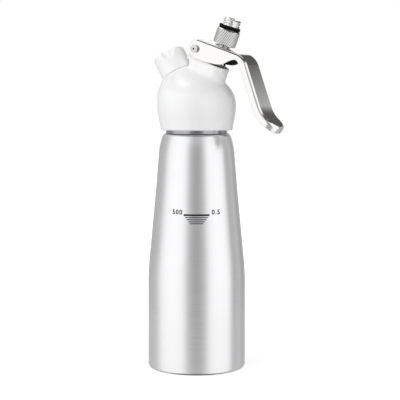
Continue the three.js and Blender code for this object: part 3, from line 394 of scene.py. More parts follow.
class Outline:
    """The distance to a closed outline in a plane, kept in a table and read between its points."""

    def __init__(self, points, margin=4.0, step=0.1):
        points = np.array(points, float)
        self.low, self.step = points.min(0) - margin, step
        counts = np.ceil((points.max(0) + margin - self.low) / step).astype(int) + 1
        xs, ys = (self.low[k] + step * np.arange(counts[k]) for k in (0, 1))
        grid = np.stack(np.meshgrid(xs, ys, indexing="ij"), -1).reshape(-1, 2)
        nearest = np.full(len(grid), np.inf)
        crossed = np.zeros(len(grid), bool)
        for start, end in zip(points, np.roll(points, -1, 0)):
            side = end - start
            if not side.any():
                continue
            share = np.clip(((grid - start) @ side) / (side @ side), 0, 1)
            gap = grid - start - share[:, None] * side
            nearest = np.minimum(nearest, (gap**2).sum(1))
            spans = (start[1] > grid[:, 1]) != (end[1] > grid[:, 1])
            if side[1]:
                meets = start[0] + (grid[:, 1] - start[1]) * side[0] / side[1]
                crossed ^= spans & (grid[:, 0] < meets)
        self.table = (np.sqrt(nearest) * np.where(crossed, -1, 1)).reshape(counts)

    def __call__(self, x, y):
        top = np.array(self.table.shape) - 1.001
        u = np.clip((x - self.low[0]) / self.step, 0, top[0])
        v = np.clip((y - self.low[1]) / self.step, 0, top[1])
        i, j = u.astype(int), v.astype(int)
        u, v = u - i, v - j
        near = self.table[i, j] * (1 - v) + self.table[i, j + 1] * v
        far = self.table[i + 1, j] * (1 - v) + self.table[i + 1, j + 1] * v
        return near * (1 - u) + far * u


def slope(field, points):
    """The value of a field and its slope at points."""
    step = SLOPE_STEP
    sides = [field(points + step * axis) - field(points - step * axis) for axis in np.eye(3)]
    return field(points), np.stack(sides, 1) / (2 * step)


def filled_grid(field, low, counts, cell):
    """The field on a grid, worked out only in the blocks near its surface, and its sign elsewhere."""
    blocks = counts // NET_BLOCK
    steps = np.stack(np.meshgrid(*(np.arange(n) for n in blocks), indexing="ij"), -1)
    centres = field(low + (steps.reshape(-1, 3) + 0.5) * NET_BLOCK * cell).reshape(blocks)
    values = np.full(counts + 1, 1e3)
    inside = np.repeat(np.repeat(np.repeat(centres < 0, NET_BLOCK, 0), NET_BLOCK, 1), NET_BLOCK, 2)
    values[:-1, :-1, :-1][inside] = -1e3
    near = np.abs(centres) < NET_BLOCK * cell * 1.25
    wanted = np.zeros(counts + 1, bool)
    for i, j, k in np.argwhere(near) * NET_BLOCK:
        wanted[i : i + NET_BLOCK + 1, j : j + NET_BLOCK + 1, k : k + NET_BLOCK + 1] = True
    places = np.argwhere(wanted)
    found = [field(low + places[n : n + NET_CHUNK] * cell) for n in range(0, len(places), NET_CHUNK)]
    values[tuple(places.T)] = np.concatenate(found)
    return values


def net(field, low, high, cell=NET_CELL):
    """Points, quads and slopes of a closed mesh over the surface of a field."""
    low = np.array(low, float)
    counts = np.ceil((np.array(high) - low) / cell / NET_BLOCK).astype(int) * NET_BLOCK
    values = filled_grid(field, low, counts, cell)
    crossings, cells, flips = [], [], []
    strides = np.array([(counts[1] + 1) * (counts[2] + 1), counts[2] + 1, 1])
    for axis in range(3):
        unit, left, down = np.eye(3, dtype=int)[[axis, (axis + 1) % 3, (axis + 2) % 3]]
        first = values[tuple(slice(None, -1) if k == axis else slice(None) for k in range(3))]
        second = values[tuple(slice(1, None) if k == axis else slice(None) for k in range(3))]
        at = np.argwhere((first < 0) != (second < 0))
        a, b = first[tuple(at.T)], second[tuple(at.T)]
        crossings.append(low + (at + (a / (a - b))[:, None] * unit) * cell)
        corners = [at, at - left, at - left - down, at - down]
        cells.append(np.stack([corner @ strides for corner in corners], 1))
        flips.append(a >= 0)
    crossings, cells, flips = (np.concatenate(x) for x in (crossings, cells, flips))
    cells[flips] = cells[flips][:, ::-1]
    _, faces = np.unique(cells, return_inverse=True)
    faces = faces.reshape(cells.shape)
    weight = np.bincount(faces.ravel())
    sums = [np.bincount(faces.ravel(), np.repeat(crossings[:, k], 4)) for k in range(3)]
    points = np.stack(sums, 1) / weight[:, None]
    for _ in range(3):
        value, steep = slope(field, points)
        length = np.maximum((steep**2).sum(1), 0.05)
        move = steep * (value / length)[:, None]
        size = np.linalg.norm(move, axis=1, keepdims=True)
        points = points - move * np.minimum(1, 0.5 * cell / np.maximum(size, 1e-9))
    return points, faces, slope(field, points)[1]


# Meshes and pieces.
def mesh_of(name, points, faces):
    mesh = bpy.data.meshes.new(name)
    mesh.from_pydata(np.asarray(points).tolist(), [], [list(map(int, f)) for f in faces])
    mesh.validate()
    return mesh


def linked(name, data):
    """A new object in the scene."""
    made = bpy.data.objects.new(name, data)
    bpy.context.scene.collection.objects.link(made)
    return made


def shade_smooth(mesh, sharp=None):
    """Smooth shading, but for edges that are sharper than an angle."""
    mesh.polygons.foreach_set("use_smooth", np.ones(len(mesh.polygons), bool))
    if sharp:
        mesh.set_sharp_from_angle(angle=sharp)


def tube_faces(rings, sides):
    """The quads and ends of a tube whose points come ring by ring."""
    faces = []
    for i in range(0, (rings - 1) * sides, sides):
        for k in range(sides):
            after = (k + 1) % sides
            faces.append([i + k, i + sides + k, i + sides + after, i + after])
    return faces + [range(sides), range(rings * sides - 1, (rings - 1) * sides - 1, -1)]


def piece(name, mesh, look, body, *replaced):
    """A piece of the object on a body of the part, in place of CAD nodes."""
    made = linked(name, mesh)
    finish, slot = look
    mesh.materials.append(finish)
    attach(made, body)
    if replaced:
        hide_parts(*replaced)
    return made


def net_piece(name, field, low, high, place, look, body, node, cell=NET_CELL, painted_shade=None, in_painted_shade=None):
    """A piece over the surface of a field, with painted shade, a second finish, on the faces whose points all
    fall in it.
    """
    points, faces, slopes = net(field, low, high, cell)
    mesh = mesh_of(name, place.world(points), faces)
    shade_smooth(mesh)
    normals = place.turned(slopes)
    normals /= np.maximum(np.linalg.norm(normals, axis=1, keepdims=True), 1e-9)
    mesh.normals_split_custom_set_from_vertices(normals.tolist())
    piece(name, mesh, look, body, node)
    if painted_shade:
        mesh.materials.append(painted_shade)
        inner = in_painted_shade(points)
        for polygon in mesh.polygons:
            polygon.material_index = int(inner[list(polygon.vertices)].all())


def lathe(name, profile, place, segments, offset):
    """A closed mesh turned about Z from a closed line of radius and height, counter-clockwise."""
    rings, points, faces = [], [], []
    angles = np.arange(segments) * 2 * math.pi / segments
    for radius, height in profile:
        start = len(points)
        if radius < 1e-6:
            points.append((0, 0, height))
            rings.append([start] * segments)
            continue
        radii = np.full(segments, radius) if offset is None else radius + offset(radius, height, angles)
        points.extend(zip(radii * np.cos(angles), radii * np.sin(angles), np.full(segments, height)))
        rings.append(list(range(start, start + segments)))
    for lower, upper in zip(rings, rings[1:] + rings[:1]):
        for k in range(segments):
            after = (k + 1) % segments
            corners = list(dict.fromkeys([lower[k], lower[after], upper[after], upper[k]]))
            if len(corners) > 2:
                faces.append(corners)
    mesh = mesh_of(name, place.world(points), faces)
    shade_smooth(mesh, SHARP_ANGLE)
    return mesh


def rounded(points, radius, steps=4):
    """A closed line of radius and height with its corners off the axis rounded."""
    line = []
    count = len(points)
    for i, (x, y) in enumerate(points):
        here = np.array([x, y], float)
        before, after = (np.array(points[(i + k) % count], float) for k in (-1, 1))
        into, out = before - here, after - here
        lengths = np.linalg.norm(into), np.linalg.norm(out)
        if x < 1e-6 or min(lengths) < 1e-6:
            line.append((x, y))
            continue
        into, out = into / lengths[0], out / lengths[1]
        half = math.acos(np.clip(into @ out, -1, 1)) / 2
        if half > QUARTER - 0.05:
            line.append((x, y))
            continue
        reach = min(radius / math.tan(half), 0.45 * lengths[0], 0.45 * lengths[1])
        start, end = here + into * reach, here + out * reach
        for t in np.linspace(0, 1, steps + 1):
            line.append(tuple((1 - t) ** 2 * start + 2 * t * (1 - t) * here + t**2 * end))
    return line


def turned_piece(name, profile, place, look, body, *replaced, segments=SMALL_SEGMENTS, offset=None):
    piece(name, lathe(name, profile, place, segments, offset), look, body, *replaced)


# Materials.
NOISE_RANGE = (0.3, 0.7)


class Finish:
    """A material with one principled shader, and short ways to add what drives it."""

    def __init__(self, name, colour, metallic=0.0, roughness=0.5, **sockets):
        self.material = bpy.data.materials.new(name)
        self.material.use_nodes = True
        self.nodes, self.links = self.material.node_tree.nodes, self.material.node_tree.links
        self.shader = self.nodes["Principled BSDF"]
        self.place = self.nodes.new("ShaderNodeTexCoord").outputs["Object"]
        values = {"Base Color": (*colour, 1), "Metallic": metallic, "Roughness": roughness, **sockets}
        for socket, value in values.items():
            self.drive(socket.replace("_", " "), value)

    def put(self, socket, value):
        """A number, a colour or another node's output on a socket."""
        if isinstance(value, bpy.types.NodeSocket):
            self.links.new(value, socket)
        else:
            socket.default_value = value

    def drive(self, socket, value):
        self.put(self.shader.inputs[socket], value)

    def node(self, kind, inputs, output=0, **settings):
        """An output of a new node that has these settings and inputs."""
        made = self.nodes.new("ShaderNode" + kind)
        for name, value in settings.items():
            setattr(made, name, value)
        for key, value in inputs.items():
            self.put(made.inputs[key], value)
        return made.outputs[output]

    def math(self, operation, *values):
        return self.node("Math", dict(enumerate(values)), operation=operation)

    def along(self, axis, origin=(0, 0, 0)):
        """The distance along an axis from an origin, in metres."""
        offset = self.node("VectorMath", {0: self.place, 1: tuple(origin)}, operation="SUBTRACT")
        return self.node("VectorMath", {0: offset, 1: tuple(axis)}, "Value", operation="DOT_PRODUCT")

    def distance(self, origin=(0, 0, 0)):
        """The distance from a point, in metres."""
        return self.node("VectorMath", {0: self.place, 1: origin}, "Value", operation="DISTANCE")

    def across(self, place):
        """The distances along the axes of a place."""
        return [self.along(axis, place.origin) for axis in place.axes]

    def turned(self, place):
        """The angle round the Z axis of a place, and the distances along it and from it."""
        x, y, z = self.across(place)
        square = self.math("ADD", self.math("MULTIPLY", x, x), self.math("MULTIPLY", y, y))
        return self.math("ARCTAN2", y, x), z, self.math("SQRT", square)

    def scaled(self, values, scales):
        """Coordinates from three values, each with its own scale."""
        parts = [self.math("MULTIPLY", value, scale) for value, scale in zip(values, scales)]
        return self.node("CombineXYZ", dict(enumerate(parts)))

    def noise(self, vector, scale=1.0, detail=2.0, roughness=0.5):
        sockets = {"Vector": vector, "Scale": scale, "Detail": detail, "Roughness": roughness}
        return self.node("TexNoise", sockets)

    def spread(self, value, low, high, to_low, to_high):
        """From one level to another as a value goes from low to high."""
        return self.node("MapRange", dict(enumerate((value, low, high, to_low, to_high))))

    def mixed_values(self, share, first, second):
        """From one value to another as a share goes from 0 to 1."""
        return self.math("MULTIPLY_ADD", share, self.math("SUBTRACT", second, first), first)

    def colours(self, share, first, second):
        """From one colour to another as a share goes from 0 to 1."""
        first, second = (v if isinstance(v, bpy.types.NodeSocket) else (*v, 1) for v in (first, second))
        return self.node("Mix", {0: share, 6: first, 7: second}, 2, data_type="RGBA")

    def bump(self, height, distance, strength):
        relief = {"Height": height, "Distance": distance, "Strength": strength}
        self.drive("Normal", self.node("Bump", relief))

    def grain(self, noise, rough, distance, strength):
        """Gloss and fine relief that follow a noise."""
        self.drive("Roughness", self.spread(noise, *NOISE_RANGE, *rough))
        self.bump(noise, distance, strength)


def brushed_aluminium():
    """Fine lines round the bottle, over a broad soft variation, and a glossier turned neck that is also
    painted darker, as painted shade under the head.
    """
    f = Finish("brushed_aluminium", (0.8, 0.8, 0.81), 1.0, 0.3)
    lines = f.noise(f.scaled(f.turned(PART), (1.6, 2600, 0)), detail=4, roughness=0.6)
    broad = f.noise(f.scaled(f.across(PART), (9, 9, 30)))
    cloudy = f.spread(broad, *NOISE_RANGE, -0.02, 0.02)
    rough = f.math("ADD", f.spread(lines, *NOISE_RANGE, 0.27, 0.34), cloudy)
    # The neck is glossier, and painted darker as painted shade under the head.
    neck_gloss_and_shade = f.spread(f.along((0, 0, 1)), (NECK_BASE - 0.3) * MM, NECK_BASE * MM, 0, 1)
    f.drive("Roughness", f.math("MULTIPLY_ADD", neck_gloss_and_shade, -0.22, rough))
    body = f.colours(lines, (0.84, 0.84, 0.85), (0.9, 0.9, 0.91))
    f.drive("Base Color", f.colours(neck_gloss_and_shade, body, (0.4, 0.4, 0.41)))
    f.bump(lines, 0.00001, 0.35)
    return f.material


def white_plastic():
    """Glossy moulded plastic with a faint unevenness of gloss and surface."""
    f = Finish("white_plastic", (0.9, 0.9, 0.9), 0.0, 0.2)
    broad, fine = f.noise(f.place, 60, 3), f.noise(f.place, 900)
    f.drive("Base Color", f.colours(broad, (0.915, 0.917, 0.92), (0.945, 0.945, 0.942)))
    f.drive("Roughness", f.spread(fine, *NOISE_RANGE, 0.17, 0.23))
    f.bump(f.math("MULTIPLY_ADD", broad, 3, fine), 0.00001, 0.3)
    return f.material


def polished_steel():
    """Pressed steel polished along the lever, with faint lines and cloudy gloss."""
    f = Finish("polished_steel", (0.86, 0.855, 0.84), 1.0, 0.1)
    lines, cloud = f.noise(f.scaled(f.across(LEVER), (40, 900, 900)), detail=3), f.noise(f.place, 70)
    rough = f.math("ADD", f.spread(lines, *NOISE_RANGE, 0.06, 0.11), f.spread(cloud, *NOISE_RANGE, 0, 0.03))
    f.drive("Roughness", rough)
    f.drive("Base Color", f.colours(cloud, (0.82, 0.815, 0.8), (0.86, 0.855, 0.84)))
    f.bump(lines, 0.000004, 0.25)
    return f.material


def grained(name, dark, light, rough, grain, metallic=0.0, relief=0.00003, specular=0.5):
    """A finish whose shade, gloss and relief follow one fine grain."""
    f = Finish(name, light, metallic, rough[0], Specular_IOR_Level=specular)
    noise = f.noise(f.place, grain, 3)
    f.drive("Base Color", f.colours(noise, dark, light))
    f.grain(noise, rough, relief, 0.4)
    return f.material


def turned_steel(name, place):
    """Steel with turning marks round the axis of a place."""
    f = Finish(name, (0.77, 0.77, 0.76), 1.0, 0.25)
    f.drive("Base Color", f.colours(f.noise(f.place, 160), (0.66, 0.66, 0.65), (0.77, 0.77, 0.76)))
    f.grain(f.noise(f.scaled(f.turned(place), (0.8, 4200, 4200)), detail=3), (0.18, 0.3), 0.00001, 0.4)
    return f.material


def steel_with_painted_shade(name, dark, light, shade_colour, grain, shade_mask):
    """Turned steel with painted shade, darker where a mask says."""
    f = Finish(name, light, 1.0, 0.25)
    cloud = f.noise(f.place, grain)
    f.drive("Base Color", f.colours(shade_mask(f), f.colours(cloud, dark, light), shade_colour))
    f.grain(cloud, (0.2, 0.3), 0.00001, 0.3)
    return f.material


def dimple_shade(f):
    """Painted shade in the dimple of the pin's head."""
    _, z, radius = f.turned(PIN)
    inside = f.spread(radius, 0.9 * PIN_DIMPLE_RADIUS * MM, 1.1 * PIN_DIMPLE_RADIUS * MM, 1, 0)
    return f.math("MULTIPLY", inside, f.spread(z, HALF_WIDTH * MM, (HALF_WIDTH + 0.5) * MM, 0, 1))


def knurl_groove_shade(f):
    """Painted shade in the knurl's grooves, between its lands."""
    angle, z, _ = f.turned(VALVE)
    slant = math.tan(KNURL_ANGLE) / COLLAR_RADIUS / MM
    lean = f.math("MULTIPLY", f.math("SUBTRACT", z, ADAPTER_BOTTOM * MM), slant)
    groove = f.math("COSINE", f.math("MULTIPLY", f.math("ADD", angle, lean), KNURL_GROOVES))
    over = f.spread(z, (ADAPTER_BOTTOM + 0.4) * MM, (ADAPTER_BOTTOM + 0.8) * MM, 0, 1)
    under = f.spread(z, (ADAPTER_SHOULDER - 0.8) * MM, (ADAPTER_SHOULDER - 0.4) * MM, 1, 0)
    return f.math("MULTIPLY", f.spread(groove, -0.2, 0.7, 0, 1), f.math("MULTIPLY", over, under))


# Each look is a finish and its material slot.
ALUMINIUM = (brushed_aluminium(), "brushed_aluminium")
WHITE = (white_plastic(), "white_plastic")
POLISHED = (polished_steel(), "polished_steel")
STEM_STEEL = (turned_steel("turned_steel_valve", VALVE), "turned_steel")
INLET_STEEL = (turned_steel("turned_steel_inlet", INLET), "turned_steel")
# The knurl's grooves are painted darker, as painted shade.
KNURLED = (
    steel_with_painted_shade("knurled_steel", (0.9, 0.9, 0.89), (0.97, 0.97, 0.96), (0.22, 0.22, 0.21), 400, knurl_groove_shade),
    "turned_steel",
)
# The pin's dimple is painted dark, as painted shade.
PIN_STEEL = (
    steel_with_painted_shade("dimpled_steel", (0.56, 0.56, 0.55), (0.66, 0.66, 0.65), (0.05, 0.05, 0.05), 160,
                 dimple_shade),
    "turned_steel",
)
SPRING = (
    grained("spring_steel", (0.46, 0.46, 0.46), (0.62, 0.62, 0.61), (0.22, 0.38), 1400, 1.0, 0.00002),
    "spring_steel",
)
RUBBER = (
    grained("black_rubber", (0.002, 0.002, 0.002), (0.006, 0.006, 0.006), (0.52, 0.68), 700, specular=0.08),
    "black_rubber",
)
SILICONE = (
    grained("pale_silicone", (0.8, 0.81, 0.81), (0.88, 0.89, 0.89), (0.37, 0.53), 500),
    "pale_silicone",
)
POLYMER = (
    grained("grey_polymer", (0.5, 0.51, 0.53), (0.58, 0.59, 0.61), (0.37, 0.53), 500),
    "grey_polymer",
)
INK = (
    grained("printed_ink", (0.003, 0.003, 0.003), (0.012, 0.012, 0.012), (0.52, 0.68), 1500, specular=0.1),
    "printed_ink",
)
# Painted shade inside the lever's channel, as a dark steel finish which has no slot of its own.
CHANNEL_PAINTED_SHADE = grained("channel_painted_shade", (0.04, 0.04, 0.04), (0.1, 0.1, 0.1), (0.34, 0.48), 300, 1.0)


# Bottle.
def taper(radius, neck_radius, top):
    curve = smooth(TAPER_SHARES, BOTTLE_STRAIGHT, top - BOTTLE_STRAIGHT, radius, neck_radius - radius)
    return [(r, z) for z, r in curve]


def neck_offset(radius, height, angles):
    if radius < NECK_RADIUS - LINE_MARGIN or height < NECK_BASE + NECK_RING:
        return np.zeros(len(angles))
    return ridge(height, angles, NECK_THREAD, NECK_BASE + NECK_THREAD["start"])


def make_bottle():
    inner = BOTTLE_RADIUS - BOTTLE_WALL
    neck_inner = NECK_RADIUS - NECK_WALL
    inner_round = BOTTLE_BASE_ROUND - BOTTLE_WALL
    rows = np.arange(NECK_BASE + 0.3, NECK_RIM - NECK_CHAMFER, 0.25)
    outside = [
        (0, 0),
        (BOTTLE_RADIUS / 2, 0),
        *arc(BOTTLE_RADIUS - BOTTLE_BASE_ROUND, BOTTLE_BASE_ROUND, BOTTLE_BASE_ROUND, -QUARTER, 0),
        *((BOTTLE_RADIUS, z) for z in np.linspace(BOTTLE_BASE_ROUND, BOTTLE_STRAIGHT, 8)[1:-1]),
        *taper(BOTTLE_RADIUS, NECK_RADIUS, NECK_BASE),
        *((NECK_RADIUS, z) for z in rows),
        (NECK_RADIUS, NECK_RIM - NECK_CHAMFER),
        (NECK_RADIUS - NECK_CHAMFER, NECK_RIM),
    ]
    inside = [
        (neck_inner, NECK_RIM),
        *taper(inner, neck_inner, NECK_BASE - BOTTLE_WALL)[::-1],
        *arc(inner - inner_round, BOTTLE_FLOOR + inner_round, inner_round, 0, -QUARTER, 6),
        (0, BOTTLE_FLOOR),
    ]
    profile = outside + inside
    turned_piece("bottle_shell", profile, PART, ALUMINIUM, "bottle_body", "bottle", segments=ROUND_SEGMENTS,
                 offset=neck_offset)


# Print on the bottle.
def bottle_radius(height):
    line = [(z, r) for r, z in [(BOTTLE_RADIUS, 0), *taper(BOTTLE_RADIUS, NECK_RADIUS, NECK_BASE)]]
    heights, radii = zip(*line)
    return np.interp(height, heights, radii)


def on_bottle(across, height, stand):
    """Points on the bottle's wall, from a distance round it and a height, standing off by a distance."""
    radius = bottle_radius(height)
    angle = PRINT_AZIMUTH + across / radius
    out = radius + stand
    return np.stack([out * np.cos(angle), out * np.sin(angle), height], -1)


def print_bar(height, width, thickness):
    columns = 24
    across = np.linspace(-width / 2, width / 2, columns + 1)
    corners = [(-EMBED, -1), (PRINT_STAND, -1), (PRINT_STAND, 1), (-EMBED, 1)]
    level = np.full(columns + 1, height)
    rows = [on_bottle(across, level + side * thickness / 2, stand) for stand, side in corners]
    return np.stack(rows, 1).reshape(-1, 3), tube_faces(columns + 1, 4)


def print_word(word, azimuth):
    """Plain numbers wrapped round the bottle, as thin closed letters."""
    curve = bpy.data.curves.new("word", "FONT")
    curve.body = word
    curve.size = PRINT_WORD_SIZE
    curve.align_x = "CENTER"
    curve.offset = PRINT_WORD_BOLDNESS
    curve.space_character = PRINT_WORD_SPACING
    curve.extrude = (EMBED + PRINT_STAND) / 2
    curve.resolution_u = 6
    text = linked("word", curve)
    bpy.context.view_layer.update()
    mesh = bpy.data.meshes.new_from_object(text.evaluated_get(bpy.context.evaluated_depsgraph_get()))
    bpy.data.objects.remove(text)
    points = np.array([v.co for v in mesh.vertices])
    faces = [list(p.vertices) for p in mesh.polygons]
    bpy.data.meshes.remove(mesh)
    radius = bottle_radius(PRINT_WORD_HEIGHT)
    across = points[:, 0] + math.radians(azimuth) * radius
    stand = points[:, 2] + (PRINT_STAND - EMBED) / 2
    return on_bottle(across, PRINT_WORD_HEIGHT + points[:, 1], stand), faces


def make_print():
    parts = [print_bar(*row) for row in PRINT_BARS] + [print_word(*row) for row in PRINT_WORDS]
    points, faces = [], []
    for part_points, part_faces in parts:
        start = sum(len(p) for p in points)
        points.append(part_points)
        faces += [[start + k for k in f] for f in part_faces]
    mesh = mesh_of("fill_marks", PART.world(np.concatenate(points)), faces)
    piece("fill_marks", mesh, INK, "bottle_body")


# Head.
def from_axis(p):
    return np.hypot(p[:, 0], p[:, 1])


def dome_field(p):
    radius = from_axis(p)
    over = p[:, 2] - WIDEST_HEIGHT
    wide, tall = WIDEST_RADIUS, DOME_RISE
    first = np.hypot(radius / wide, over / tall)
    second = np.hypot(radius / wide**2, over / tall**2)
    dome = first * (first - 1) / np.maximum(second, 1e-9)
    s = np.clip(p[:, 2] / WIDEST_HEIGHT, 0, 1)
    flare = SKIRT_FLARE_SHARE
    way = flare * s + (3 - 2 * flare) * s**2 + (flare - 2) * s**3
    skirt = radius - FOOT_RADIUS - (WIDEST_RADIUS - FOOT_RADIUS) * way
    return round_max(np.where(over > 0, dome, skirt), -p[:, 2], FOOT_ROUND)


def shoulder_field(p):
    """Swells from the dome's widest ring up to the round face under the cap, in planes that share a line."""
    lean_x, lean_z = INLET.axes[2][0], INLET.axes[2][2]
    inlet_height = (INLET.origin[2] - HEAD.origin[2]) / MM
    line_x = (SHOULDER_RISE - lean_z * (WIDEST_HEIGHT - inlet_height)) / lean_x
    face_x = lean_x * SHOULDER_RISE - line_x
    face_z = inlet_height + lean_z * SHOULDER_RISE - WIDEST_HEIGHT
    face = math.hypot(face_x, face_z)
    full = math.atan2(face_z, face_x)
    x, z = p[:, 0] - line_x, p[:, 2] - WIDEST_HEIGHT
    away, t = np.hypot(x, z), np.arctan2(z, x) / full
    start, end = -line_x - WIDEST_RADIUS, face - SHOULDER_RADIUS
    inner = start - SHOULDER_WAIST * t + (end - start + SHOULDER_WAIST) * t**2
    outer = -line_x + WIDEST_RADIUS + (face + SHOULDER_RADIUS + line_x - WIDEST_RADIUS) * t
    body = (np.hypot(away - (inner + outer) / 2, p[:, 1]) - (outer - inner) / 2) / SHOULDER_STEEPNESS
    face_plane = lean_x * p[:, 0] + lean_z * (p[:, 2] - inlet_height) - SHOULDER_RISE
    return np.maximum(round_max(body, face_plane, SHOULDER_EDGE), -z)


def boss_field(v):
    """The valve's boss in the valve's frame: oblong, with its rear end upright as the boss leans."""
    rear = -BOSS_LENGTH - v[:, 2] * math.tan(VALVE_TILT)
    aside = np.maximum(np.maximum(rear - v[:, 0], v[:, 0] - BOSS_FRONT), 0)
    column = np.hypot(aside, v[:, 1]) - BOSS_RADIUS
    return np.maximum(round_max(column, v[:, 2] - BOSS_RISE, BOSS_EDGE), -v[:, 2] - BOSS_DEPTH)


def lug_field(v):
    x, z = v[:, 0] + PIVOT_BACK, v[:, 2] - PIVOT_RISE
    below = np.maximum(z, -(PIVOT_RISE + BOSS_EDGE))
    round_top = np.hypot(x, np.maximum(below, 0)) - LUG_RADIUS
    foot_edge, side_edge = 0.3, 0.4
    body = round_max(round_top, -z - PIVOT_RISE - BOSS_EDGE, foot_edge)
    return round_max(body, np.abs(v[:, 1]) - LUG_HALF_WIDTH, side_edge)


def bore(outline, p):
    return outline(from_axis(p), p[:, 2])


def revolved(points):
    """An outline for a bore, carried over the axis so that the axis isn't an edge."""
    return Outline([*points, *((-r, z) for r, z in reversed(points))])


def valve_bore_outline():
    spare, open_top = 4, 6
    deep = -SEAT_DEPTH - spare
    return revolved([
        (FLOW_RADIUS, deep), (FLOW_RADIUS, -SEAL_SHOULDER), (BUSH_BORE, -SEAL_SHOULDER),
        (BUSH_BORE, -RECESS_DEPTH), (RECESS_RADIUS, -RECESS_DEPTH), (RECESS_RADIUS, open_top),
    ])


def inlet_bore_outline():
    seat = SHOULDER_RISE - INLET_BORE_DEPTH
    check = seat - CHECK_FLANGE_THICKNESS - SEAT_GAP
    way, flange, socket = (r + SEAT_GAP for r in (CHECK_BODY_RADIUS, CHECK_FLANGE_RADIUS, FITTING_RADIUS))
    spare, over = 4, 5
    return revolved([
        (way, check - CHECK_BODY_LENGTH - spare), (way, check), (flange, check), (flange, seat),
        (socket, seat), (socket, SHOULDER_RISE + over),
    ])


def chamber_outline():
    top = GASKET_SEAT + CHAMBER_WALL
    return revolved([
        (CHAMBER_RADIUS, GASKET_SEAT - 1), (CHAMBER_RADIUS, top), (CHAMBER_TOP_RADIUS, top + CHAMBER_CONE),
    ])


def threaded_bore(p, radius, thread, start, top):
    """A bore about Z with a screw ridge that stands inwards, up to a flat top."""
    turn = ridge(p[:, 2], np.arctan2(p[:, 1], p[:, 0]) % (2 * math.pi), thread, start)
    return round_max((from_axis(p) - radius + turn) / THREAD_STEEPNESS, p[:, 2] - top, BORE_EDGE)


def rising(value, start, end):
    """From 0 at the start to 1 at the end, level at both."""
    share = np.clip((value - start) / (end - start), 0, 1)
    return share**2 * (3 - 2 * share)


def make_head():
    valve_bore, inlet_bore, chamber = valve_bore_outline(), inlet_bore_outline(), chamber_outline()
    thread_start = NECK_BASE + NECK_THREAD["start"] - HEAD_FOOT - THREAD_LEAD_SHARE * NECK_THREAD["pitch"]
    tube_middle, tube_half = -(SEAT_DEPTH + BOSS_DEPTH) / 2, (SEAT_DEPTH - BOSS_DEPTH) / 2

    def field(p):
        world = HEAD.world(p)
        v, q = VALVE.local(world), INLET.local(world)
        over = rising(p[:, 2], WIDEST_HEIGHT, WIDEST_HEIGHT + SHOULDER_BLEND_RISE)
        back = rising(-p[:, 0], -SHOULDER_BLEND_REACH / 2, SHOULDER_BLEND_REACH / 2)
        body = soft_min(dome_field(p), shoulder_field(p), SHOULDER_BLEND * over * back)
        body = round_min(body, boss_field(v), BOSS_FILLET)
        body = round_min(body, lug_field(v), LUG_FILLET)
        screw = threaded_bore(p, HEAD_BORE, NECK_THREAD, thread_start, GASKET_SEAT)
        body = round_max(body, -screw, BORE_EDGE)
        body = np.maximum(body, -bore(chamber, p))
        tube = np.maximum(from_axis(v) - VALVE_TUBE_RADIUS, np.abs(v[:, 2] - tube_middle) - tube_half)
        body = np.minimum(body, tube)
        hole = np.hypot(v[:, 0] + PIVOT_BACK, v[:, 2] - PIVOT_RISE) - PIN_HOLE
        for cut in (bore(valve_bore, v), bore(inlet_bore, q), hole):
            body = round_max(body, -cut, BORE_EDGE)
        return body

    low, high = (-38, -34, -2), (36, 34, 68)
    net_piece("head_shell", field, low, high, HEAD, WHITE, "head_body", "head")


# Lever.
def lever_sections():
    """The upper line's sections (start, fall, length before and radius, negative upwards) and its length."""
    x, z, fall, done = 0.0, ARM_TOP, 0.0, 0.0
    sections = []
    for length, radius, turn in (
        (ARM_LENGTH, 0, 0), (0, BEND_RADIUS, BEND_TURN), (GRIP_LENGTH, 0, 0),
        (0, -FLARE_RADIUS, -FLARE_TURN), (TIP_LENGTH, 0, 0),
    ):
        sections.append((x, z, fall, done, radius))
        if radius:
            x += radius * (math.sin(fall + turn) - math.sin(fall))
            z += radius * (math.cos(fall + turn) - math.cos(fall))
            done += radius * turn
            fall += turn
        else:
            x += length * math.cos(fall)
            z -= length * math.sin(fall)
            done += length
    return sections, done


LEVER_SECTIONS, LEVER_RUN = lever_sections()


def unbend(x, z):
    """The distance along the lever's upper line and the depth under it."""
    along, depth = x.copy(), ARM_TOP - z
    for start_x, start_z, fall, done, radius in LEVER_SECTIONS[1:]:
        ahead = (x - start_x) * math.cos(fall) - (z - start_z) * math.sin(fall)
        below = -(x - start_x) * math.sin(fall) - (z - start_z) * math.cos(fall)
        if radius:
            side, size = math.copysign(1, radius), abs(radius)
            towards = size - side * below
            here = done + size * np.arctan2(ahead, towards)
            under = side * (size - np.hypot(ahead, towards))
        else:
            here, under = done + ahead, below
        along, depth = np.where(ahead > 0, here, along), np.where(ahead > 0, under, depth)
    return along, depth


def lever_point(along, depth):
    """The place of a point at a distance along the lever's upper line and a depth under it."""
    start_x, start_z, fall, done, radius = next(s for s in reversed(LEVER_SECTIONS) if along >= s[3] - 1e-9)
    ahead = along - done
    if radius:
        turned = fall + ahead / radius
        x = start_x + radius * (math.sin(turned) - math.sin(fall))
        z = start_z + radius * (math.cos(turned) - math.cos(fall))
    else:
        turned = fall
        x, z = start_x + ahead * math.cos(fall), start_z - ahead * math.sin(fall)
    return x - depth * math.sin(turned), z - depth * math.cos(turned)


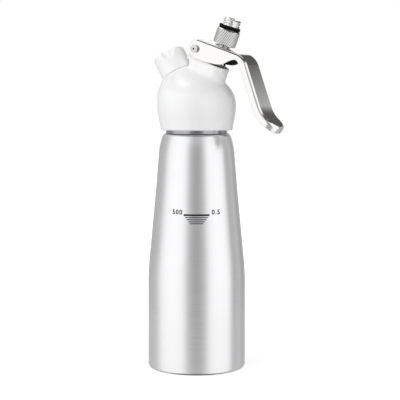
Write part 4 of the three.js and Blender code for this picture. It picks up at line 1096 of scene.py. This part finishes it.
def lever_side_outline():
    """The side plates' outline, carried past the upper line and the tip so that those edges stay uncut."""
    spare = 3.0
    end_radius, end_height = (ARM_TOP + ARM_BOTTOM) / 2, (ARM_TOP - ARM_BOTTOM) / 2
    rear = arc(end_radius - ARM_END_REACH, end_height, end_radius, QUARTER, 3 * QUARTER, 40)
    arch = smooth(ARCH_SHARES, 0, ARM_LENGTH, -ARM_BOTTOM, ARM_TOP + ARM_BOTTOM, 8)
    bend_end = LEVER_SECTIONS[2][3]
    run = np.linspace(bend_end, LEVER_RUN, 60)
    flange = [lever_point(u, np.interp(u, (bend_end, LEVER_RUN), (GRIP_DEPTH, TIP_DEPTH))) for u in run]
    beyond = [lever_point(LEVER_RUN + spare, TIP_DEPTH), lever_point(LEVER_RUN + spare, -spare)]
    top = [lever_point(u, -spare) for u in np.linspace(LEVER_RUN, end_radius - ARM_END_REACH, 90)]
    return [*rear, *arch, *flange, *beyond, *top]


def make_lever():
    side = Outline(lever_side_outline())
    slot_floor, cut_edge, hole_edge = 10, 0.3, 0.25

    def outside(p):
        along, depth = unbend(p[:, 0], p[:, 2])
        ahead = along - (LEVER_RUN - TIP_CORNER)
        aside = np.abs(p[:, 1]) - (HALF_WIDTH - TIP_CORNER)
        corner = np.hypot(np.maximum(ahead, 0), np.maximum(aside, 0))
        plan = corner + np.minimum(np.maximum(ahead, aside), 0) - TIP_CORNER
        return round_max(plan, -depth, CREASE_ROUND)

    def field(p):
        outer = outside(p)
        sheet = np.maximum(outer, -outer - SHEET)
        body = round_max(sheet, side(p[:, 0], p[:, 2]), SHEET_EDGE)
        between = np.maximum(p[:, 0] + WEB_BACK, np.abs(p[:, 1]) - HALF_WIDTH + SHEET)
        body = round_max(body, -between, cut_edge)
        v = VALVE.local(LEVER.world(p))
        reach = np.maximum(np.maximum(-SLOT_BACK - v[:, 0], v[:, 0] - SLOT_FRONT), 0)
        slot = np.maximum(np.hypot(reach, v[:, 1]) - SLOT_HALF_WIDTH, slot_floor - v[:, 2])
        body = round_max(body, -slot, cut_edge)
        return round_max(body, PIN_HOLE - np.hypot(p[:, 0], p[:, 2]), hole_edge)

    # Painted shade on the inner faces of the channel, up to a reach along the arm.
    def in_painted_shade(p):
        return (outside(p) < -0.7 * SHEET) & (p[:, 0] < CHANNEL_REACH)

    low, high = (-10, -14, -40), (94, 14, 12)
    net_piece("lever_pressing", field, low, high, LEVER, POLISHED, "lever_body", "lever", NET_CELL * 0.9,
              CHANNEL_PAINTED_SHADE, in_painted_shade)


def make_pin():
    base = HALF_WIDTH + SEAT_GAP
    edge = base + PIN_HEAD_THICKNESS
    tail = -base - SEAT_GAP - PIN_TAIL
    radius = (PIN_HEAD_RADIUS**2 + PIN_CROWN**2) / (2 * PIN_CROWN)
    centre = edge + PIN_CROWN - radius
    ends = (math.acos(r / radius) for r in (PIN_HEAD_RADIUS, PIN_DIMPLE_RADIUS))
    floor = edge + PIN_CROWN - PIN_DIMPLE_DEPTH
    tail_edge, head_edge = 0.2, 0.1
    profile = [
        (0, tail), (PIN_RADIUS - tail_edge, tail), (PIN_RADIUS, tail + tail_edge), (PIN_RADIUS, base),
        (PIN_HEAD_RADIUS - head_edge, base), (PIN_HEAD_RADIUS, base + head_edge),
        *arc(0, centre, radius, *ends, 10), (0.7 * PIN_DIMPLE_RADIUS, floor), (0, floor),
    ]
    turned_piece("pin_rivet", profile, PIN, PIN_STEEL, "head_body", "lever_pin", segments=PIN_SEGMENTS)


# Valve.
def make_stem():
    collar_bottom, top = STEM_COLLAR_TOP - COLLAR_THICKNESS, SOCKET_TOP - SEAT_GAP
    way_edge, hole_edge = 0.3, 0.2
    body = Outline([
        (-STEM_RADIUS, STEM_FOOT), (STEM_RADIUS, STEM_FOOT), (STEM_RADIUS, collar_bottom),
        (THRUST_RADIUS, collar_bottom), (THRUST_RADIUS, STEM_COLLAR_TOP), (STEM_RADIUS, STEM_COLLAR_TOP),
        (STEM_RADIUS, top), (-STEM_RADIUS, top),
    ])

    def field(p):
        radius = from_axis(p)
        way = np.maximum(radius - STEM_BORE, -SEAT_DEPTH - p[:, 2])
        shape = round_max(body(radius, p[:, 2]), -way, way_edge)
        aside = np.minimum(np.abs(p[:, 0]), np.abs(p[:, 1]))
        holes = np.hypot(aside, p[:, 2] + STEM_HOLE_DEPTH) - STEM_HOLE_RADIUS
        return round_max(shape, -holes, hole_edge)

    low = (-THRUST_RADIUS - 1, -THRUST_RADIUS - 1, STEM_FOOT - 1)
    high = (THRUST_RADIUS + 1, THRUST_RADIUS + 1, SOCKET_TOP + 1)
    net_piece("hollow_stem", field, low, high, VALVE, STEM_STEEL, "stem_body", "valve_stem", NET_CELL * 0.8)


def make_thrust_washer():
    inner = STEM_RADIUS + SEAT_GAP
    centre = CROWN_APEX - CROWN_RADIUS
    ends = (math.acos(radius / CROWN_RADIUS) for radius in (THRUST_RADIUS, inner))
    edge = 0.15
    profile = [
        (inner, THRUST_BOTTOM), (THRUST_RADIUS - edge, THRUST_BOTTOM), (THRUST_RADIUS, THRUST_BOTTOM + edge),
        *arc(0, centre, CROWN_RADIUS, *ends, 12),
    ]
    turned_piece("crowned_washer", profile, VALVE, POLISHED, "stem_body", "thrust_washer")


def spring_centre(curl):
    span = SPRING_TOP - SPRING_BOTTOM - WIRE
    share = curl / CURLS
    rise = share - (1 - END_PITCH_SHARE) / (2 * math.pi) * math.sin(2 * math.pi * share)
    angle = 2 * math.pi * curl
    height = SPRING_BOTTOM + WIRE / 2 + span * rise
    return COIL_RADIUS * math.cos(angle), COIL_RADIUS * math.sin(angle), height


def make_spring():
    steps, sides = 40, 12
    points = []
    count = CURLS * steps + 1
    for i in range(count):
        x, y, z = spring_centre(i / steps)
        for k in range(sides):
            angle = 2 * math.pi * k / sides
            scale = 1 + WIRE / 2 * math.cos(angle) / COIL_RADIUS
            points.append((x * scale, y * scale, z + WIRE / 2 * math.sin(angle)))
    mesh = mesh_of("spring_coil", VALVE.world(points), tube_faces(count, sides))
    shade_smooth(mesh, SPRING_SHARP_ANGLE)
    coil = piece("spring_coil", mesh, SPRING, "head_body", "return_spring")
    foot = VALVE.world([(0, 0, SPRING_BOTTOM)])[0]
    tuple(VALVE.axes[2])
    tuple(foot)
    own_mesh(coil)


def knurl(radius, height, angles):
    """Fine slanting grooves round the adapter's collar, crossed by fainter ones."""
    plain = 0.7
    inside = ADAPTER_BOTTOM + plain < height < ADAPTER_SHOULDER - plain
    if radius < COLLAR_RADIUS - LINE_MARGIN or not inside:
        return np.zeros(len(angles))
    lean = (height - ADAPTER_BOTTOM) * math.tan(KNURL_ANGLE) / COLLAR_RADIUS
    grooves = []
    for side, depth in ((1, KNURL_DEPTH), (-1, KNURL_CROSS_DEPTH)):
        turns = (angles + side * lean) * KNURL_GROOVES / (2 * math.pi)
        grooves.append(depth * (0.5 + 0.5 * np.cos(2 * math.pi * turns)))
    return -np.maximum(*grooves)


def adapter_offset(radius, height, angles):
    if height > ADAPTER_SHOULDER and radius > SPIGOT_ROOT - LINE_MARGIN:
        start = ADAPTER_TOP - SPIGOT_THREAD["pitch"] * (SPIGOT_THREAD["turns"] + 0.5)
        return ridge(height, angles, SPIGOT_THREAD, start, half_width=0.42)
    return knurl(radius, height, angles)


def make_adapter():
    socket = STEM_RADIUS + SEAT_GAP
    collar_edge, tip_edge, mouth_edge = 0.5, 0.4, 0.3
    knurled = np.arange(ADAPTER_BOTTOM + 0.66, ADAPTER_SHOULDER - 0.6, 0.16)
    threaded = np.arange(ADAPTER_SHOULDER + 0.2, ADAPTER_TOP - 0.5, 0.12)
    profile = [
        (socket, ADAPTER_BOTTOM), (COLLAR_RADIUS - collar_edge, ADAPTER_BOTTOM),
        (COLLAR_RADIUS, ADAPTER_BOTTOM + collar_edge), *((COLLAR_RADIUS, z) for z in knurled),
        (COLLAR_RADIUS, ADAPTER_SHOULDER - collar_edge), (COLLAR_RADIUS - collar_edge, ADAPTER_SHOULDER),
        (SPIGOT_ROOT, ADAPTER_SHOULDER), *((SPIGOT_ROOT, z) for z in threaded),
        (SPIGOT_ROOT, ADAPTER_TOP - tip_edge), (SPIGOT_ROOT - tip_edge, ADAPTER_TOP),
        (OUTLET_RADIUS + mouth_edge, ADAPTER_TOP), (OUTLET_RADIUS, ADAPTER_TOP - mouth_edge),
        (OUTLET_RADIUS, SOCKET_TOP), (socket, SOCKET_TOP),
    ]
    turned_piece("knurled_adapter", profile, VALVE, KNURLED, "stem_body", "nozzle_adapter",
                 segments=KNURL_SEGMENTS, offset=adapter_offset)


def make_rings():
    """The plain rings and discs: seals, gaskets, a black ring under the adapter's collar as painted shade,
    the bush and the cap's liner.
    """
    run = STEM_RADIUS + SEAT_GAP
    seal_top = -BUSH_BOTTOM - SEAT_GAP
    pin_end = -HALF_WIDTH - SEAT_GAP
    charger_seat = SOCKET_FLOOR + PIERCER_THICKNESS + 2 * SEAT_GAP
    charger_top = charger_seat + INLET_GASKET_THICKNESS
    o_ring_top = ADAPTER_SHOULDER + O_RING_THICKNESS
    shade_ring_bottom = ADAPTER_BOTTOM - COLLAR_SHADE_RING_THICKNESS
    rim_reach = HEAD_BORE - SEAT_GAP - THREAD_GAP
    rim_seat = NECK_RIM - HEAD_FOOT + SEAT_GAP
    # Each row is inner and outer radius, bottom, top and edge, then place, look, body and node.
    rows = {
        "retaining_ring": (PIN_HOLE, RETAINER_RADIUS, pin_end - RETAINER_THICKNESS, pin_end, 0.3,
                           PIN, PIN_STEEL, "head_body", "pin_retainer"),
        "seal_o_ring": (SPIGOT_ROOT + SEAT_GAP, O_RING_RADIUS, ADAPTER_SHOULDER + SEAT_GAP, o_ring_top, 0.7,
                        VALVE, RUBBER, "stem_body", "adapter_o_ring"),
        # A black ring in the gap under the adapter's collar, as painted shade.
        "collar_shade_ring": (run, COLLAR_SHADE_RING_RADIUS, shade_ring_bottom, ADAPTER_BOTTOM + EMBED, 0.15,
                          VALVE, RUBBER, "stem_body"),
        "stem_bush": (run, BUSH_RADIUS, -BUSH_BOTTOM, -RECESS_DEPTH, 0.5,
                      VALVE, POLYMER, "head_body", "guide_bush"),
        "stem_seal": (run, BUSH_RADIUS, seal_top - STEM_SEAL_WIDTH, seal_top, 0.6,
                      VALVE, RUBBER, "head_body", "stem_seal_ring"),
        "seat_seal": (run, VALVE_SEAL_RADIUS, SEAL_TOP - VALVE_SEAL_THICKNESS, SEAL_TOP, 0.3,
                      VALVE, RUBBER, "stem_body", "valve_seal"),
        "seat_disc": (run, VALVE_DISC_RADIUS, DISC_TOP - VALVE_DISC_THICKNESS, DISC_TOP, 0.3,
                      VALVE, STEM_STEEL, "stem_body", "valve_disc"),
        "charger_gasket": (INLET_GASKET_INNER, SOCKET_RADIUS - SEAT_GAP, charger_seat, charger_top, 0.3,
                           INLET, RUBBER, "head_body", "inlet_gasket"),
        "rim_gasket": (GASKET_INNER, rim_reach, rim_seat, GASKET_SEAT - SEAT_GAP, 0.5,
                       HEAD, SILICONE, "seal_body", "head_gasket"),
        "liner_disc": (0, CAP_BORE - SEAT_GAP, LINER_BOTTOM, LINER_TOP, 0.3,
                       INLET, SILICONE, "liner_body", "cap_liner"),
    }
    segments = {"retaining_ring": PIN_SEGMENTS, "rim_gasket": ROUND_SEGMENTS}
    for name, (inner, outer, bottom, top, edge, *rest) in rows.items():
        profile = rounded([(inner, bottom), (outer, bottom), (outer, top), (inner, top)], edge)
        turned_piece(name, profile, *rest, segments=segments.get(name, SMALL_SEGMENTS))


# Inlet.
def make_cap():
    lean = math.atan2(SCALLOP_DEPTH, SCALLOP_RUN)
    axis = np.array([-math.sin(lean), 0, math.cos(lean)])
    offset = CAP_RADIUS - SCALLOP_DEPTH + SCALLOP_RADIUS / math.cos(lean)
    thread_start = FITTING_SHOULDER + STUB_THREAD["start"] - THREAD_LEAD_SHARE * STUB_THREAD["pitch"]

    def field(p):
        body = round_max(from_axis(p) - CAP_RADIUS, p[:, 2] - CAP_HEIGHT, CAP_ROUND)
        body = round_max(body, CAP_FOOT - p[:, 2], CAP_FOOT_ROUND)
        for i in range(SCALLOPS):
            turn = SCALLOP_ANGLE + 2 * math.pi * i / SCALLOPS
            x = p[:, 0] * math.cos(turn) + p[:, 1] * math.sin(turn) - offset
            y = p[:, 1] * math.cos(turn) - p[:, 0] * math.sin(turn)
            z = p[:, 2] - CAP_HEIGHT
            run = x * axis[0] + z * axis[2]
            gap = np.sqrt(np.maximum(x**2 + y**2 + z**2 - run**2, 0)) - SCALLOP_RADIUS
            body = round_max(body, -gap, SCALLOP_ROUND)
        screw = threaded_bore(p, CAP_BORE, STUB_THREAD, thread_start, CAP_BORE_TOP)
        return round_max(body, -screw, BORE_EDGE)

    reach = CAP_RADIUS + 1
    low, high = (-reach, -reach, CAP_FOOT - 1), (reach, reach, CAP_HEIGHT + 1)
    net_piece("scalloped_cap", field, low, high, INLET, WHITE, "cap_body", "port_cap")


def stub_offset(radius, height, angles):
    threaded = FITTING_SHOULDER + 0.1 <= height <= STUB_TOP - 0.3
    if radius < STUB_ROOT - LINE_MARGIN or not threaded:
        return np.zeros(len(angles))
    return ridge(height, angles, STUB_THREAD, FITTING_SHOULDER + STUB_THREAD["start"])


def make_fitting():
    threaded = np.arange(FITTING_SHOULDER + 0.2, STUB_TOP - 0.4, 0.2)
    tip_edge, mouth_edge = 0.3, 0.2
    profile = [
        (GAS_WAY_RADIUS, FITTING_BOTTOM), (FITTING_RADIUS, FITTING_BOTTOM),
        (FITTING_RADIUS, FITTING_SHOULDER), (STUB_ROOT, FITTING_SHOULDER),
        *((STUB_ROOT, z) for z in threaded), (STUB_ROOT, STUB_TOP - tip_edge),
        (STUB_ROOT - tip_edge, STUB_TOP), (SOCKET_RADIUS + mouth_edge, STUB_TOP),
        (SOCKET_RADIUS, STUB_TOP - mouth_edge), (SOCKET_RADIUS, SOCKET_FLOOR),
        (GAS_WAY_RADIUS, SOCKET_FLOOR),
    ]
    turned_piece("threaded_inlet", profile, INLET, INLET_STEEL, "head_body", "inlet_fitting",
                 segments=ROUND_SEGMENTS, offset=stub_offset)


def make_check_valve():
    top = FITTING_BOTTOM - SEAT_GAP
    flange = top - CHECK_FLANGE_THICKNESS + SEAT_GAP
    tip = flange - CHECK_BODY_LENGTH
    snout = rounded([
        (CHECK_BORE, tip), (CHECK_TIP_RADIUS, tip), (CHECK_BODY_RADIUS, flange - CHECK_BODY_LENGTH / 2),
        (CHECK_BODY_RADIUS, flange), (CHECK_FLANGE_RADIUS, flange), (CHECK_FLANGE_RADIUS, top),
        (CHECK_BORE, top),
    ], 0.2)
    turned_piece("rubber_check_valve", snout, INLET, RUBBER, "head_body", "check_valve")


def dress_cad_nodes():
    """The pieces that stay as they are, with a turned finish."""
    for node, (finish, _) in (("valve_nut", STEM_STEEL), ("piercing_pin", INLET_STEEL)):
        for slot in frame["nodes"][node].material_slots:
            slot.link = "OBJECT"
            slot.material = finish


for make in (
    make_bottle, make_print, make_head, make_lever, make_pin, make_stem, make_thrust_washer, make_spring,
    make_adapter, make_rings, make_cap, make_fitting, make_check_valve, dress_cad_nodes,
):
    make()


# Camera.
def aim(made, direction):
    made.rotation_mode = "QUATERNION"
    made.rotation_quaternion = Vector(direction).to_track_quat("-Z", "Y")


def make_camera():
    data = bpy.data.cameras.new("camera")
    data.lens = CAMERA_LENS
    data.sensor_width = 36
    data.clip_start, data.clip_end = 0.05, 50
    camera = linked("camera", data)
    camera.location = CAMERA_PLACE
    level = math.cos(CAMERA_FALL)
    across, ahead = -math.sin(CAMERA_AZIMUTH) * level, math.cos(CAMERA_AZIMUTH) * level
    aim(camera, (across, ahead, -math.sin(CAMERA_FALL)))
    bpy.context.scene.camera = camera


# Studio.
STUDIO_CENTRE = (0, 0, 0.14)


def studio_direction(right):
    """A level direction, given in degrees to the right of the camera's side."""
    azimuth = math.radians(right) + CAMERA_AZIMUTH - QUARTER
    return math.cos(azimuth), math.sin(azimuth), 0.0


def lamp(name, right, above, distance, size, watts):
    """A square lamp that faces the object, in degrees to the right of the camera's side and above level."""
    data = bpy.data.lights.new(name, "AREA")
    data.shape, data.size, data.energy = "SQUARE", size, watts
    made = linked(name, data)
    x, y, _ = studio_direction(right)
    rise = math.radians(above)
    level = math.cos(rise) * distance
    made.location = Vector(STUDIO_CENTRE) + Vector((level * x, level * y, math.sin(rise) * distance))
    aim(made, Vector(STUDIO_CENTRE) - made.location)
    made.visible_glossy = False


def seen_directly(nodes, links):
    """One where a ray comes from the camera, off a glossy surface or through a clear one, else zero."""
    path = nodes.new("ShaderNodeLightPath")
    total = path.outputs["Is Camera Ray"]
    for ray in ("Is Glossy Ray", "Is Transmission Ray"):
        node = nodes.new("ShaderNodeMath")
        node.operation = "MAXIMUM"
        links.new(total, node.inputs[0])
        links.new(path.outputs[ray], node.inputs[1])
        total = node.outputs[0]
    return total


def make_world(ambient):
    world = bpy.data.worlds.new("studio")
    world.use_nodes = True
    nodes, links = world.node_tree.nodes, world.node_tree.links
    bpy.context.scene.world = world
    spread = nodes.new("ShaderNodeMapRange")
    links.new(seen_directly(nodes, links), spread.inputs["Value"])
    spread.inputs["To Min"].default_value = ambient
    spread.inputs["To Max"].default_value = 1.0
    nodes["Background"].inputs["Color"].default_value = (1, 1, 1, 1)
    links.new(spread.outputs["Result"], nodes["Background"].inputs["Strength"])


def stage_sheet(name, points, faces, f):
    """A sheet of the studio."""
    sheet = linked(name, mesh_of(name, points, faces))
    sheet.data.materials.append(f.material)
    return sheet


def make_floor(shade, glow_near, glow_far):
    """A large pale floor that shows white, more so away from the object, and keeps a faint shadow."""
    corners = [(x * FLOOR_REACH, y * FLOOR_REACH, 0) for x, y in ((-1, -1), (1, -1), (1, 1), (-1, 1))]
    white = (1, 1, 1, 1)
    f = Finish("floor", (shade, shade, shade), 0.0, 0.9, Specular_IOR_Level=0, Emission_Color=white)
    glow = f.spread(f.distance(), GLOW_FROM, GLOW_TO, glow_near, glow_far)
    f.drive("Emission Strength", f.math("MULTIPLY", seen_directly(f.nodes, f.links), glow))
    stage_sheet("floor", corners, [range(4)], f).visible_glossy = False


# Each row is a share of the way round the tent, from behind by the left, and the level there.
# Low down.
LOW_SHARES = [
    (0.0, 0.55), (0.09, 0.42), (0.2, 0.45), (0.27, 0.95), (0.31, 1.0), (0.41, 1.0), (0.455, 0.4),
    (0.5, 0.28), (0.545, 0.4), (0.585, 1.0), (0.715, 1.0), (0.755, 0.3), (0.82, 0.52), (0.87, 0.3),
    (0.93, 0.5), (1.0, 0.55),
]
# Higher up.
HIGH_SHARES = [
    (0.0, 1.0), (0.07, 1.0), (0.11, 0.5), (0.2, 0.6), (0.27, 1.0), (0.42, 1.0), (0.46, 0.5), (0.54, 0.5),
    (0.6, 1.0), (0.7, 1.0), (0.77, 0.8), (0.82, 0.1), (0.94, 0.08), (0.96, 1.0), (1.0, 1.0),
]
TENT_STRENGTH = 1.15
TENT_RADIUS = 0.35
TENT_HEIGHT = 0.7
TENT_BREAK = (0.293, 0.36)
TENT_DARK = (0.5, 0.56)
CEILING_LEVELS = (0.1, 1.0)
CEILING_BREAK = (-0.1, 0.1)
PATCH_PLACE = (-0.18, -0.02)
PATCH_EDGE = (0.03, 0.1)
PATCH_LEVEL = 3.0
TENT_FLOOR = (0.8, 0.14)
TENT_FOOT = -0.25
FLOOR_BREAK = (-0.02, 0.02)
FLOOR_REACH = 4.0
# Painted shadow on the tent's floor under the bottle: its edge and level.
FOOT_SHADOW_EDGE = (0.12, 0.2)
FOOT_SHADOW_LEVEL = 0.08
GLOW_FROM = 0.07
GLOW_TO = 0.4


def ramp(f, value, rows):
    """A smooth run of grey levels over a value from 0 to 1."""
    level = f.node("ValToRGB", {"Fac": value}, "Color")
    bands = level.node.color_ramp
    bands.interpolation = "EASE"
    while len(bands.elements) < len(rows):
        bands.elements.new(0.5)
    for element, (place, grey) in zip(bands.elements, rows):
        element.position = place
        element.color = (grey, grey, grey, 1)
    return level


def round_camera(f):
    """The share of the way round, from behind by the left, and the distance towards the camera."""
    right, towards = f.along(studio_direction(90)), f.along(studio_direction(0))
    return f.math("MULTIPLY_ADD", f.math("ARCTAN2", right, towards), 1 / (2 * math.pi), 0.5), towards


def glossy_only(name, points, faces, f, level):
    """A glowing sheet of the studio that is seen only in the object's gloss."""
    glow = {"Color": (1, 1, 1, 1), "Strength": f.math("MULTIPLY", level, TENT_STRENGTH)}
    f.put(f.nodes["Material Output"].inputs["Surface"], f.node("Emission", glow))
    sheet = stage_sheet(name, points, faces, f)
    sheet.visible_camera = sheet.visible_diffuse = sheet.visible_shadow = sheet.visible_transmission = False


def make_tent():
    """A tent of cards and softboxes round the object, with a floor and a ceiling."""
    angles = np.arange(SMALL_SEGMENTS) * 2 * math.pi / SMALL_SEGMENTS
    round_line = [(TENT_RADIUS * math.cos(a), TENT_RADIUS * math.sin(a)) for a in angles]
    rims = [[(x, y, z) for x, y in round_line] for z in (TENT_FOOT, TENT_HEIGHT)]
    after = np.roll(range(SMALL_SEGMENTS), -1)
    faces = [[k, after[k], SMALL_SEGMENTS + after[k], SMALL_SEGMENTS + k] for k in range(SMALL_SEGMENTS)]
    f = Finish("tent", (0, 0, 0))
    share, _ = round_camera(f)
    height = f.along((0, 0, 1))
    low = ramp(f, share, LOW_SHARES)
    low = f.mixed_values(f.spread(height, *FLOOR_BREAK, 0, 1), f.math("MULTIPLY_ADD", low, *TENT_FLOOR), low)
    level = f.mixed_values(f.spread(height, *TENT_BREAK, 0, 1), low, ramp(f, share, HIGH_SHARES))
    level = f.math("MULTIPLY", level, f.spread(height, *TENT_DARK, 1, CEILING_LEVELS[0]))
    glossy_only("tent", rims[0] + rims[1], faces, f, level)
    f = Finish("tent_floor", (0, 0, 0))
    level = f.math("MULTIPLY_ADD", ramp(f, round_camera(f)[0], LOW_SHARES), *TENT_FLOOR)
    # Painted shadow: the tent's floor is darker in the middle, under the bottle.
    level = f.math("MULTIPLY", level, f.spread(f.distance((0, 0, TENT_FOOT)), *FOOT_SHADOW_EDGE, FOOT_SHADOW_LEVEL, 1))
    glossy_only("tent_floor", rims[0], [range(SMALL_SEGMENTS)], f, level)
    f = Finish("tent_ceiling", (0, 0, 0))
    level = f.spread(round_camera(f)[1], *CEILING_BREAK, CEILING_LEVELS[1], CEILING_LEVELS[0])
    x, y, _ = np.array(PATCH_PLACE) @ [studio_direction(90), studio_direction(0)]
    patch = f.spread(f.distance((x, y, TENT_HEIGHT)), *PATCH_EDGE, PATCH_LEVEL, 0)
    glossy_only("tent_ceiling", rims[1], [range(SMALL_SEGMENTS)], f, f.math("ADD", level, patch))


make_camera()
make_world(ambient=0.58)
make_floor(shade=0.7, glow_near=0.56, glow_far=1.0)
make_tent()
lamp("key", right=-84, above=8, distance=1.4, size=0.9, watts=8.5)
lamp("fill", right=26, above=6, distance=1.4, size=0.9, watts=6.8)
lamp("top", right=-45, above=62, distance=1.1, size=0.5, watts=1.1)

bpy.context.scene.view_settings.view_transform = "Standard"
